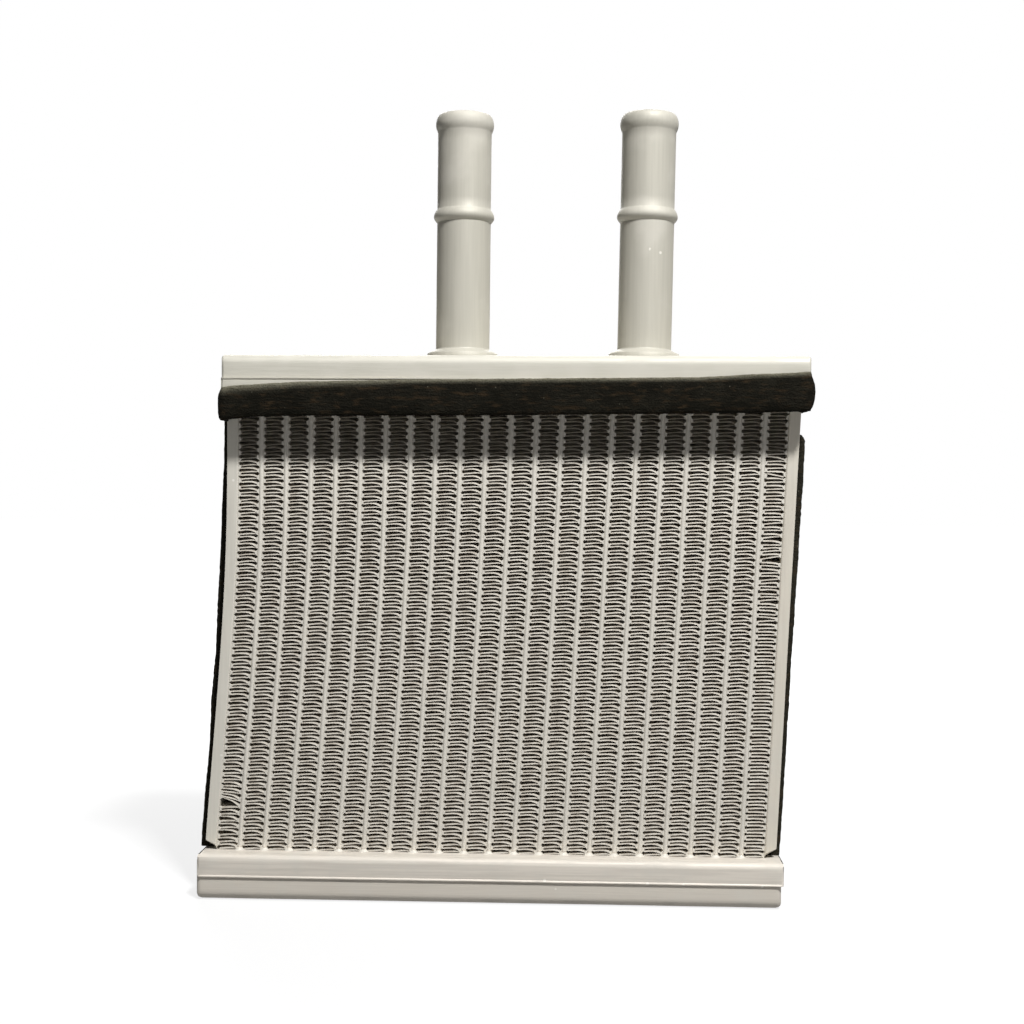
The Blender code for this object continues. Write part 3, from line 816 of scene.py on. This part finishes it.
class FinShells:
    """The closed shells that one fin is made of, in one list of points and faces."""

    def __init__(self, index):
        """Starts empty, in the middle between two tubes."""
        self.middle = fin_x(index)
        self.points = []
        self.faces = []

    def place(self, x, y, z):
        """Adds a point, counted across from the fin's middle."""
        self.points.append((core_x(self.middle + x, z), y, z))

    def strip(self, path, normals, low_y, high_y, edged):
        """A strip of sheet along the path. Where edged, its ends slope back towards their top."""
        self.faces += bar_faces(len(self.points), len(path))
        corners = ((1, low_y, 1), (1, high_y, -1), (-1, high_y, -1), (-1, low_y, 1))
        for (x, z, sheet), (nx, nz) in zip(path, normals):
            for side, y, inward in corners:
                back = EDGE_SLOPE * sheet * (1 + side * nz) / 2 if y in edged else 0.0
                self.place(x + side * nx * sheet / 2, y + inward * back, z + side * nz * sheet / 2)

    def slat(self, start, end, y, tilt):
        """One louvre: a narrow tilted slat on a leaf's line, from wall to wall."""
        self.faces += bar_faces(len(self.points), 2)
        wide, thick = LOUVRE_WIDTH / 2, LOUVRE_SHEET / 2
        slope = (end[1] - start[1]) / (end[0] - start[0])
        for x, z, _ in (start, end):
            wall = math.copysign(FIN_WIDTH / 2 - LEAF_CLEAR, x)
            height = z + slope * (wall - x)
            for a, b in ((-wide, thick), (wide, thick), (wide, -thick), (-wide, -thick)):
                across = a * math.cos(tilt) - b * math.sin(tilt)
                self.place(wall, y + across, height + a * math.sin(tilt) + b * math.cos(tilt))

    def bead(self, side, height, scale, low_y, high_y):
        """Corners of the braze metal that fills a turn out to the tube, along its whole depth."""
        wall = side * (FIN_WIDTH / 2 + BEAD_SINK)
        tip = side * (FIN_WIDTH / 2 - BEAD_DEPTH * scale)
        narrow, wide = (half * scale for half in BEAD_HEIGHTS)
        section = [(wall, wide), (tip, narrow), (tip, -narrow), (wall, -wide)]
        corners = [(x, y, height + up) for y in (low_y, high_y) for x, up in section]
        return [(core_x(self.middle + x, z), y, z) for x, y, z in corners]


def make_fin(index, beads):
    """A louvred, corrugated fin. The beads of its turns are added to those of its tubes."""
    chance = random.Random(FIN_SEED + index)
    path = fin_path(index, chance)
    normals = path_normals(path)
    node = f"fin_{index + 1:02d}"
    low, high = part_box(node)
    front, back = low.y, high.y
    shells = FinShells(index)
    stride = LEAF_POINTS + TURN_STEPS - 1
    slat_places = louvre_places(front, back)
    for leaf in range(LEAVES):
        first = leaf * stride
        flat = slice(first + 1, first + LEAF_POINTS - 1)
        for low_y, high_y in band_places(front, back):
            shells.strip(path[flat], normals[flat], low_y, high_y, (front, back))
        for y, tilt in slat_places:
            shells.slat(path[first + 1], path[first + LEAF_POINTS - 2], y, tilt)
        start = first if leaf == 0 else first - TURN_STEPS - 1
        turn = slice(start, first + 2)
        shells.strip(path[turn], normals[turn], front, back, (front, back))
        if leaf:
            height = (path[first][1] + path[first - TURN_STEPS][1]) / 2
            inset = chance.uniform(*BEAD_INSETS)
            scale = chance.uniform(*BEAD_SIZES)
            side = 1 if leaf % 2 else -1
            tube = min(max(index + (side - 1) // 2, 0), TUBE_COUNT - 1)
            beads[tube].append(shells.bead(side, height, scale, front + inset, back - inset))
    end = slice(len(path) - 2, len(path))
    shells.strip(path[end], normals[end], front, back, (front, back))
    piece = new_piece(node + "_louvred", shells.points, shells.faces, FIN_SHARP_ANGLE)
    dress(piece, node, FIN_FINISH)


def band_places(front, back):
    """The plain bands of a leaf: at the front, in the middle and at the back."""
    middle = (front + back) / 2
    return [
        (front, front + FRONT_BAND),
        (middle - MIDDLE_BAND / 2, middle + MIDDLE_BAND / 2),
        (back - FRONT_BAND, back),
    ]


def louvre_places(front, back):
    """Middle and tilt of each louvre: one bank in the front half, and a mirrored one behind."""
    places = []
    middle = (front + back) / 2
    room = middle - MIDDLE_BAND / 2 - front - FRONT_BAND
    for i in range(LOUVRES_IN_BANK):
        y = front + FRONT_BAND + room * (i + 0.5) / LOUVRES_IN_BANK
        places.append((y, LOUVRE_TILT))
        places.append((2 * middle - y, -LOUVRE_TILT))
    return places


def channel_outline(half_width, height, bend, sheet, steps):
    """A channel's closed outline, its face at height 0 and its flanges going up."""
    inner = bend - sheet if bend > sheet else TIGHT_BEND
    outer_path = [(-half_width, height)]
    outer_path += arc((bend - half_width, bend), bend, 180, 270, steps)
    outer_path += arc((half_width - bend, bend), bend, 270, 360, steps)
    outer_path.append((half_width, height))
    wall = half_width - sheet
    inner_path = [(wall, height)]
    inner_path += arc((wall - inner, sheet + inner), inner, 360, 270, steps)
    inner_path += arc((inner - wall, sheet + inner), inner, 270, 180, steps)
    inner_path.append((-wall, height))
    return outer_path + inner_path


def with_lips(outline, half_width, height):
    """Adds to a header's outline the slight roll outwards along the lips of its skirts."""
    last = 2 * (BEND_STEPS + 1) + 1
    upper, lower = LIP_HEIGHTS
    left = [(-half_width, height - upper), (LIP_ROLL - half_width, height - lower)]
    right = [(-x, up) for x, up in reversed(left)]
    return outline[:1] + left + outline[1:last] + right + outline[last:]


def stations(low, high, cell, rounding=0.0):
    """Places along a length, with a closely spaced few at the ends where they are rounded."""
    turns = (0, 30, 60, 90) if rounding else (0,)
    ends = [rounding * (1 - math.cos(math.radians(turn))) for turn in turns]
    count = max(2, round((high - low) / cell))
    inner = [low + (high - low) * i / count for i in range(1, count)]
    return [low + e for e in ends] + inner + [high - e for e in reversed(ends)]


def dent(place, size):
    """How far a pressed sheet is off its true face at a place, always inwards."""
    slow = noise.noise(Vector(place) / size)
    quick = noise.noise(Vector(place) / (0.3 * size) + Vector((7, 3, 1)))
    return DENT * (DENT_SHARES[0] * slow + DENT_SHARES[1] * quick - DENT_SINK)


def end_inset(from_end):
    """How far a header's rounded end makes its face stand back."""
    if from_end >= HEADER_END_ROUNDING:
        return 0.0
    rest = HEADER_END_ROUNDING - from_end
    return HEADER_END_ROUNDING - math.sqrt(HEADER_END_ROUNDING ** 2 - rest ** 2)


def make_header(node, face, side, finish):
    """The slotted channel that holds the tubes, its skirts turned over the tank's rim."""
    low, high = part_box(node)
    outline = channel_outline(HEADER_DEPTH / 2, SKIRT, HEADER_BEND, HEADER_SHEET, BEND_STEPS)
    outline = with_lips(outline, HEADER_DEPTH / 2, SKIRT)
    rings = []
    for x in stations(low.x, high.x, CELL, HEADER_END_ROUNDING):
        inset = end_inset(min(x - low.x, high.x - x))
        ring = []
        for y, up in outline:
            off = dent((x, y, up), DENT_SIZE)
            if up > 0.9 * SKIRT:
                wave = LIP_WAVE * noise.noise(Vector((x / LIP_WAVE_LENGTH, y, 0.0)))
            else:
                wave = 0.0
            if abs(y) > HEADER_DEPTH / 2 - HEADER_SHEET / 2:
                y -= math.copysign(min(inset, abs(y)) - off, y)
            raised = inset if up < NEAR else 0.0
            ring.append((x, y, face - side * (up + raised - abs(wave))))
        rings.append(ring)
    piece = lofted_piece(node + "_uncut", rings, sharp_angle=SHEET_SHARP_ANGLE)
    mesh = cut_mesh(piece, [slot_cutter(node + "_slots", face, side)])
    piece = shaded(node + "_pressed", mesh, SHEET_SHARP_ANGLE)
    dress(piece, node, finish)


def slot_cutter(name, face, side):
    """Flat slugs the size of the tubes, through a header's face."""
    half_width, half_length = TUBE_THICKNESS / 2 + SLOT_PLAY, TUBE_DEPTH / 2 + SLOT_PLAY
    outline = obround(half_width, half_length, NOSE_ARC_STEPS)
    points, faces = [], []
    for i in range(TUBE_COUNT):
        rings = []
        for z in (face + side * SHEET, face - side * 2 * SHEET):
            rings.append([(core_x(tube_x(i), z) + x, y, z) for x, y in outline])
        slug_points, slug_faces = loft(rings, False)
        faces += [tuple(len(points) + corner for corner in corners) for corners in slug_faces]
        points += slug_points
    cutter = new_piece(name, points, faces)
    facing_out(cutter.data)
    return cutter


def round_cutter(name, x, top, radius, depth):
    """A round slug for a pipe's hole or pocket, cut down from the tank's top."""
    rings = []
    for z in (top - depth, top + depth):
        circle = arc((x, 0.0), radius, 0, 360 - 360 / PIPE_SIDES, PIPE_SIDES - 1)
        rings.append([(a, b, z) for a, b in circle])
    return lofted_piece(name, rings)


def open_box(name, low, high, open_side):
    """The mesh of a box without its lid."""
    bm = bmesh.new()
    bmesh.ops.create_cube(bm, size=1.0)
    bmesh.ops.scale(bm, vec=high - low, verts=bm.verts)
    bmesh.ops.translate(bm, vec=(high + low) / 2, verts=bm.verts)
    lid = [f for f in bm.faces if f.normal.z * open_side > 0.9]
    bmesh.ops.delete(bm, geom=lid, context="FACES")
    mesh = bpy.data.meshes.new(name)
    bm.to_mesh(mesh)
    bm.free()
    return mesh


def bent_sheet(name, mesh, bend, end_bend):
    """The mesh as one sheet, its long edges rounded by the first bend and its ends by the other."""
    roundness = mesh.attributes.new("bevel_weight_edge", "FLOAT", "EDGE")
    for edge in mesh.edges:
        ends = [mesh.vertices[i].co for i in edge.vertices]
        long_edge = abs(ends[0].x - ends[1].x) > HEADER_DEPTH
        roundness.data[edge.index].value = 1.0 if long_edge else end_bend / bend
    pan = shaded(name, mesh)
    bevel = pan.modifiers.new("rounded_edges", "BEVEL")
    bevel.width = bend
    bevel.segments = BEND_STEPS
    bevel.limit_method = "WEIGHT"
    sheet = pan.modifiers.new("sheet", "SOLIDIFY")
    sheet.thickness = SHEET
    sheet.offset = -1.0
    sheet.use_even_offset = True
    return pan


def make_tank(node, open_side, bends, finish, cutters=()):
    """A pressed pan: a box without its lid, with rounded edges and uneven faces."""
    low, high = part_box(node)
    low.y -= TANK_SPREAD
    high.y += TANK_SPREAD
    pan = bent_sheet(node + "_pan", open_box(node, low, high, open_side), *bends)
    mesh = cut_mesh(pan, cutters)
    split_into_cells(mesh, low, high)
    middle = Vector((0.0, 0.0, (low.z + high.z) / 2))
    for vertex in mesh.vertices:
        inward = (middle - Vector((0.0, vertex.co.y, vertex.co.z))).normalized()
        vertex.co -= inward * dent(vertex.co, DENT_SIZE)
    piece = shaded(node + "_pressed", mesh, SHEET_SHARP_ANGLE)
    dress(piece, node, finish)


def split_into_cells(mesh, low, high):
    """Cuts a mesh's large flats into cells, so that they can be uneven."""
    bm = bmesh.new()
    bm.from_mesh(mesh)
    cuts = [((x, 0, 0), (1, 0, 0)) for x in stations(low.x, high.x, CELL)[1:-1]]
    cuts += [((0, y, 0), (0, 1, 0)) for y in stations(low.y, high.y, CELL)[1:-1]]
    cuts += [((0, 0, z), (0, 0, 1)) for z in stations(low.z, high.z, CELL)[1:-1]]
    for place, direction in cuts:
        geometry = bm.verts[:] + bm.edges[:] + bm.faces[:]
        bmesh.ops.bisect_plane(bm, geom=geometry, dist=1e-6, plane_co=place, plane_no=direction)
    bm.to_mesh(mesh)
    bm.free()


def bead_points(height, above, below, bulge):
    """Points over a rolled bead, from its top down to its foot."""
    points = []
    for i in range(BEAD_STEPS + 1):
        t = 1 - 2 * i / BEAD_STEPS
        raised = ((1 + math.cos(math.pi * t)) / 2) ** BEAD_CRISPNESS
        points.append((PIPE_RADIUS + bulge * raised, height + (above if t > 0 else below) * t))
    return points


def nose_points():
    """Points from the rim over the pipe's rounded nose to the widest place of its end bead."""
    height, _, _, bulge = END_BEAD
    across = PIPE_RADIUS + bulge - RIM_RADIUS
    points = []
    for i in range(NOSE_STEPS):
        turn = math.pi / 2 * (1 - i / NOSE_STEPS)
        raised = (PIPE_TOP - height) * math.sin(turn)
        points.append((RIM_RADIUS + across * math.cos(turn), height + raised))
    return points


def straight_points(start, end, count):
    """Points down a straight length of the pipe, without its start."""
    return [(PIPE_RADIUS, start + (end - start) * i / count) for i in range(1, count + 1)]


def collar_points():
    """Points from the pipe down over its brazed collar and back in under it."""
    centre = (PIPE_RADIUS + COLLAR_FILLET, COLLAR_HEIGHT)
    points = arc(centre, COLLAR_FILLET, 180, 250, 4)[1:]
    edge = COLLAR_SEAT + COLLAR_EDGE
    inward, up, down = COLLAR_ROUNDING
    points += [(COLLAR_RADIUS - inward, edge + up), (COLLAR_RADIUS, edge - down)]
    return points + [(COLLAR_RADIUS, COLLAR_SEAT), (PIPE_RADIUS, COLLAR_SEAT)]


def pipe_profile():
    """Radius and height, down the outside and up the bore."""
    end_height, _, end_below, _ = END_BEAD
    stop_height, stop_above, stop_below, _ = STOP_BEAD
    outside = nose_points() + bead_points(*END_BEAD)[BEAD_STEPS // 2:]
    outside += straight_points(end_height - end_below, stop_height + stop_above, 8)[:-1]
    outside += bead_points(*STOP_BEAD)
    outside += straight_points(stop_height - stop_below, COLLAR_HEIGHT, 10) + collar_points()
    bore = PIPE_RADIUS - PIPE_WALL
    inside = [(bore, -PIPE_SPIGOT), (bore, end_height), (RIM_RADIUS - PIPE_WALL / 2, PIPE_TOP)]
    return outside + [(PIPE_RADIUS, -PIPE_SPIGOT)] + inside


def make_pipe(node):
    """A hose pipe with its beads and its brazed collar."""
    x, lean = PIPE_PLACES[node]
    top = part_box("upper_tank")[1].z
    rings = []
    for radius, height in pipe_profile():
        ring = []
        for i in range(PIPE_SIDES):
            angle = 2 * math.pi * i / PIPE_SIDES
            around = (math.cos(angle), math.sin(angle))
            wave = PIPE_UNEVENNESS * noise.noise(Vector((*around, height / PIPE_WAVE)))
            out, y = ((radius + wave) * part for part in around)
            z = top + height * math.cos(lean) - out * math.sin(lean)
            ring.append((x + out * math.cos(lean) + height * math.sin(lean), y, z))
        rings.append(ring)
    piece = lofted_piece(node + "_turned", rings, closed=True, sharp_angle=PIPE_SHARP_ANGLE)
    dress(piece, node, PIPE_FINISH)


def make_side_plate(node, side):
    """A channel against the outermost fin, with its flanges turned outwards and cut at the ends."""
    low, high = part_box(node)
    flange = FLANGE - SEAT
    outline = channel_outline(TUBE_DEPTH / 2, flange, PLATE_BEND, PLATE_SHEET, 4)
    rings = []
    for z in stations(low.z, high.z, 2 * CELL):
        end = (z - low.z < NEAR) - (high.z - z < NEAR)
        ring = []
        for y, out in outline:
            height = z + end * FLANGE_CUT * min(1.0, FLANGE_CUT_SLOPE * out / flange)
            x = core_x(side * (CORE_EDGE + SEAT + out), height)
            off = dent((3 * x, y, z), DENT_SIZE) / 2
            ring.append((x + side * off, y + math.copysign(off, y), height))
        rings.append(ring)
    piece = lofted_piece(node + "_folded", rings, sharp_angle=SHEET_SHARP_ANGLE)
    dress(piece, node, PLATE_LIT_AND_SHADED_FINISHES[side])


def foam_push(place):
    """How far the foam's skin stands off its true form at a place."""
    fine = noise.noise(Vector(place) / FOAM_GRAINS[0])
    broad = noise.noise(Vector(place) / FOAM_GRAINS[1] + Vector((5, 2, 9)))
    return FOAM_ROUGHNESS * (FOAM_SHARES[0] * fine + FOAM_SHARES[1] * broad)


def power(value, exponent):
    """A power that keeps the value's sign."""
    return math.copysign(abs(value) ** exponent, value)


def band_path(low, high):
    """The line of the band's inner side round the header, and the way out at each point."""
    half_x = (high.x - low.x) / 2 - BAND_LEFT_THICKNESS
    half_y = (high.y - low.y) / 2 - BAND_THICKNESS
    middle_x = (low.x + high.x) / 2
    path = []
    corners = ((1, -1, -90), (1, 1, 0), (-1, 1, 90), (-1, -1, 180))
    for i, (sx, sy, start) in enumerate(corners):
        centre = (middle_x + sx * (half_x - BAND_CORNER), sy * (half_y - BAND_CORNER))
        for x, y in arc(centre, BAND_CORNER, start, start + 90, 5):
            path.append((Vector((x, y)), (Vector((x, y)) - Vector(centre)).normalized()))
        next_x, next_y, _ = corners[(i + 1) % 4]
        following = (middle_x + next_x * (half_x - BAND_CORNER), next_y * (half_y - BAND_CORNER))
        here, out = path[-1]
        there = Vector(following) + out * BAND_CORNER
        count = round((there - here).length / BAND_STATION)
        path += [(here.lerp(there, j / count), out) for j in range(1, count)]
    return path


def band_offset(out, swell, lift):
    """Where a point of the band's section lies, counted from its inner side."""
    fullness = between(RIGHT_END_FULLNESS if out.x > 0 else LEFT_END_FULLNESS, lift)
    thickness = BAND_RIGHT_THICKNESS if out.x > 0 else BAND_LEFT_THICKNESS
    limit = 1.0 + (fullness - 1.0) * abs(out.x)
    return Vector((out.x * thickness, out.y * BAND_THICKNESS)) * min(limit, (swell + 1) / 2)


def make_seal_band():
    """The foam band round the upper header, bulging between its edges."""
    low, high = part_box("seal_band")
    rings, pale_edge = [], []
    for inner, out in band_path(low, high):
        share = (inner.x - low.x) / (high.x - low.x)
        top, bottom = between(BAND_TOPS, share), between(BAND_BOTTOMS, share)
        ring = []
        for i in range(BAND_SECTION_POINTS):
            angle = 2 * math.pi * i / BAND_SECTION_POINTS
            squareness = OUTER_SQUARENESS if math.cos(angle) > 0 else INNER_SQUARENESS
            swell = power(math.cos(angle), 2 / squareness)
            lift = power(math.sin(angle), 2 / squareness)
            z = (top + bottom) / 2 + lift * (top - bottom) / 2
            point = inner + band_offset(out, swell, lift)
            push = foam_push((point.x, point.y, z)) if swell > -0.9 else 0.0
            point += out * push
            ring.append((point.x, point.y, z + 0.6 * push * lift))
            # The band's top is painted paler: partly a torn fringe, partly a painted highlight
            # where it faces the light above; wider towards the left end
            wide = TORN_AND_LIT_TOP_WIDTH * (1.0 + 0.8 * max(0.0, 1.0 - 3.0 * share))
            edge_share = max(0.0, min(1.0, TORN_AND_LIT_TOP_START - (top - z) / wide))
            pale_edge.append(edge_share ** TORN_AND_LIT_TOP_POWER)
        rings.append(ring)
    piece = lofted_piece("seal_band_foam", rings, closed=True, sharp_angle=180)
    mark_pale_edge(piece.data, pale_edge)
    dress(piece, "seal_band", FOAM_FINISH)


def mark_pale_edge(mesh, values):
    """Stores how pale the foam's edge is at each point, partly torn foam and partly a painted
    highlight.
    """
    attribute = mesh.attributes.new("pale_edge", "FLOAT", "POINT")
    attribute.data.foreach_set("value", values)


def make_seal_strip(node, side):
    """A foam strip laid in a side plate's channel."""
    low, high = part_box(node)
    inner = CORE_EDGE + SEAT + PLATE_SHEET + SEAT
    edge = CORE_EDGE + FLANGE
    rings, pale_edge = [], []
    half_depth = (high.y - low.y) / 2
    count = round((high.z - low.z) / STRIP_STATION)
    for i in range(count + 1):
        z = low.z + (high.z - low.z) * i / count
        outer = edge + between(RIGHT_STRIP_PROUD if side > 0 else LEFT_STRIP_PROUD, z)
        ring = []
        for x, y in rounded_rectangle(inner, outer, half_depth, STRIP_CORNER, STRIP_SIDES):
            push = foam_push((x, y, z)) if x > edge - 0.5 * MM else 0.0
            ring.append((core_x(side * (x + push), z), y + 0.5 * math.copysign(push, y), z))
            pale_edge.append(STRIP_PALE_EDGE if x > edge else 0.0)
        rings.append(ring)
    piece = lofted_piece(node + "_foam", rings, sharp_angle=STRIP_SHARP_ANGLE)
    mark_pale_edge(piece.data, pale_edge)
    dress(piece, node, FOAM_FINISH)


def rounded_rectangle(low_x, high_x, half_y, radius, sides):
    """A rectangle in X and Y with rounded corners, its outer side cut into equal steps."""
    left, right, up = low_x + radius, high_x - radius, half_y - radius
    points = []
    for x, y, start in ((right, up, 0), (left, up, 90), (left, -up, 180), (right, -up, 270)):
        points += arc((x, y), radius, start, start + 90, 3)
    first, last = points[0][1], points[-1][1]
    return points + [(high_x, last + (first - last) * i / sides) for i in range(1, sides)]


def make_floor():
    """A plain pale floor that shows white and keeps the object's shadow."""
    size = FLOOR_SIZE
    outline = ((-size, -size), (size, -size), (size, size), (-size, size))
    floor = new_piece("floor", [(x, y, -FLOOR_SINK) for x, y in outline], [(0, 1, 2, 3)])
    finish, tree, shader = new_finish("floor_white", 0.9, 0.0)
    place = add_node(tree, "ShaderNodeNewGeometry").outputs["Position"]
    away = add_node(tree, "ShaderNodeVectorMath", {0: place}, operation="LENGTH").outputs["Value"]
    lift = ranged(tree, away, *FLOOR_FADE, *FLOOR_LIFT)
    seen = calculated(tree, "MAXIMUM", *ray_kinds(tree))
    shown = calculated(tree, "MULTIPLY", seen, lift)
    light = {"Emission Color": WHITE, "Emission Strength": shown}
    matt = {"Base Color": FLOOR_COLOUR, "Specular IOR Level": 0.0}
    fill_inputs(tree, shader, {**matt, **light})
    floor.data.materials.append(finish)


def ray_kinds(tree):
    """Whether a ray comes straight from the camera, and whether over metal or through glass."""
    path = add_node(tree, "ShaderNodeLightPath").outputs
    mirrored = calculated(tree, "MAXIMUM", path["Is Glossy Ray"], path["Is Transmission Ray"])
    return path["Is Camera Ray"], mirrored


def make_room():
    """White to the camera; to the object a soft room, brighter above and to the right."""
    world = bpy.data.worlds.new("studio")
    bpy.context.scene.world = world
    world.use_nodes = True
    tree = world.node_tree
    tree.nodes.clear()
    outwards = add_node(tree, "ShaderNodeTexCoord").outputs["Generated"]
    direction = add_node(tree, "ShaderNodeSeparateXYZ", {0: outwards}).outputs
    above = ranged(tree, direction["Z"], *ROOM_BY_HEIGHT)
    beside = ranged(tree, direction["X"], *ROOM_BY_SIDE)
    direct, mirrored = ray_kinds(tree)
    plain = ranged(tree, direction["Y"], *ROOM_BY_DEPTH)
    shiny = ranged(tree, direction["Y"], *MIRRORED_BY_DEPTH)
    level = add_node(tree, "ShaderNodeMix", {"Factor": mirrored, 2: plain, 3: shiny}).outputs[0]
    tone = calculated(tree, "MULTIPLY", above, beside)
    strength = calculated(tree, "MULTIPLY", tone, level)
    soft, white = (
        add_node(tree, "ShaderNodeBackground", {"Color": WHITE, "Strength": shine}).outputs[0]
        for shine in (strength, 1.0)
    )
    both = add_node(tree, "ShaderNodeMixShader", {0: direct, 1: soft, 2: white}).outputs[0]
    add_node(tree, "ShaderNodeOutputWorld", {"Surface": both})


def add_softbox(name, place, target, size, power_in_watts):
    """A square lamp turned to its target."""
    lamp = bpy.data.lights.new(name, "AREA")
    lamp.shape = "SQUARE"
    lamp.size = size
    lamp.energy = power_in_watts
    light = bpy.data.objects.new(name, lamp)
    bpy.context.scene.collection.objects.link(light)
    light.location = place
    light.rotation_euler = (Vector(target) - Vector(place)).to_track_quat("-Z", "Y").to_euler()


def make_lights():
    """A small key lamp high in front on the right and a broad one behind."""
    low, high = packed_box
    middle = (Vector(low) + Vector(high)) / 2
    key_place = middle + Vector(KEY_DIRECTION).normalized() * LAMP_DISTANCE
    back_place = middle + Vector(BACK_DIRECTION).normalized() * LAMP_DISTANCE
    add_softbox("key_light", key_place, middle, KEY_SIZE, KEY_POWER)
    add_softbox("back_light", back_place, middle, BACK_SIZE, BACK_POWER)


def make_camera():
    """The camera at the photograph's place."""
    lens = bpy.data.cameras.new("camera")
    lens.sensor_width = SENSOR_WIDTH
    lens.lens = FOCAL_LENGTH_IN_PIXELS / PHOTO_WIDTH * SENSOR_WIDTH
    lens.clip_start = 0.01
    camera = bpy.data.objects.new("camera", lens)
    bpy.context.scene.collection.objects.link(camera)
    camera.location = CAMERA_PLACE
    camera.rotation_euler = (math.pi / 2 + CAMERA_PITCH, -CAMERA_ROLL, CAMERA_YAW)
    bpy.context.scene.camera = camera


def make_tanks():
    """The lower tank, and the upper one with its pockets and holes for the pipes."""
    make_tank("lower_tank", 1, LOWER_TANK_BENDS, LOWER_FINISH)
    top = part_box("upper_tank")[1].z
    cutters = []
    for node, (x, _) in PIPE_PLACES.items():
        cutters.append(round_cutter(node + "_pocket", x, top, POCKET_RADIUS, POCKET_DEPTH))
        cutters.append(round_cutter(node + "_hole", x, top, PIPE_HOLE, 3 * SHEET))
    make_tank("upper_tank", -1, UPPER_TANK_BENDS, TANK_FINISH, cutters)


make_camera()
make_room()
make_lights()
make_floor()
make_tanks()
make_header("lower_header", LOWER_FACE, 1, HEADER_FINISH)
make_header("upper_header", UPPER_FACE, -1, TANK_FINISH)
braze_beads = [[] for _ in range(TUBE_COUNT)]
for fin_index in range(FIN_COUNT):
    make_fin(fin_index, braze_beads)
for tube_index in range(TUBE_COUNT):
    make_tube(tube_index, braze_beads[tube_index])
for pipe_node in PIPE_PLACES:
    make_pipe(pipe_node)
for plate_side, plate_name in ((-1, "left"), (1, "right")):
    make_side_plate("side_plate_" + plate_name, plate_side)
    make_seal_strip("seal_strip_" + plate_name, plate_side)
make_seal_band()
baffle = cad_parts["baffle"]
baffle.data.materials.clear()
baffle.data.materials.append(TANK_FINISH)

bpy.context.scene.view_settings.view_transform = "Standard"
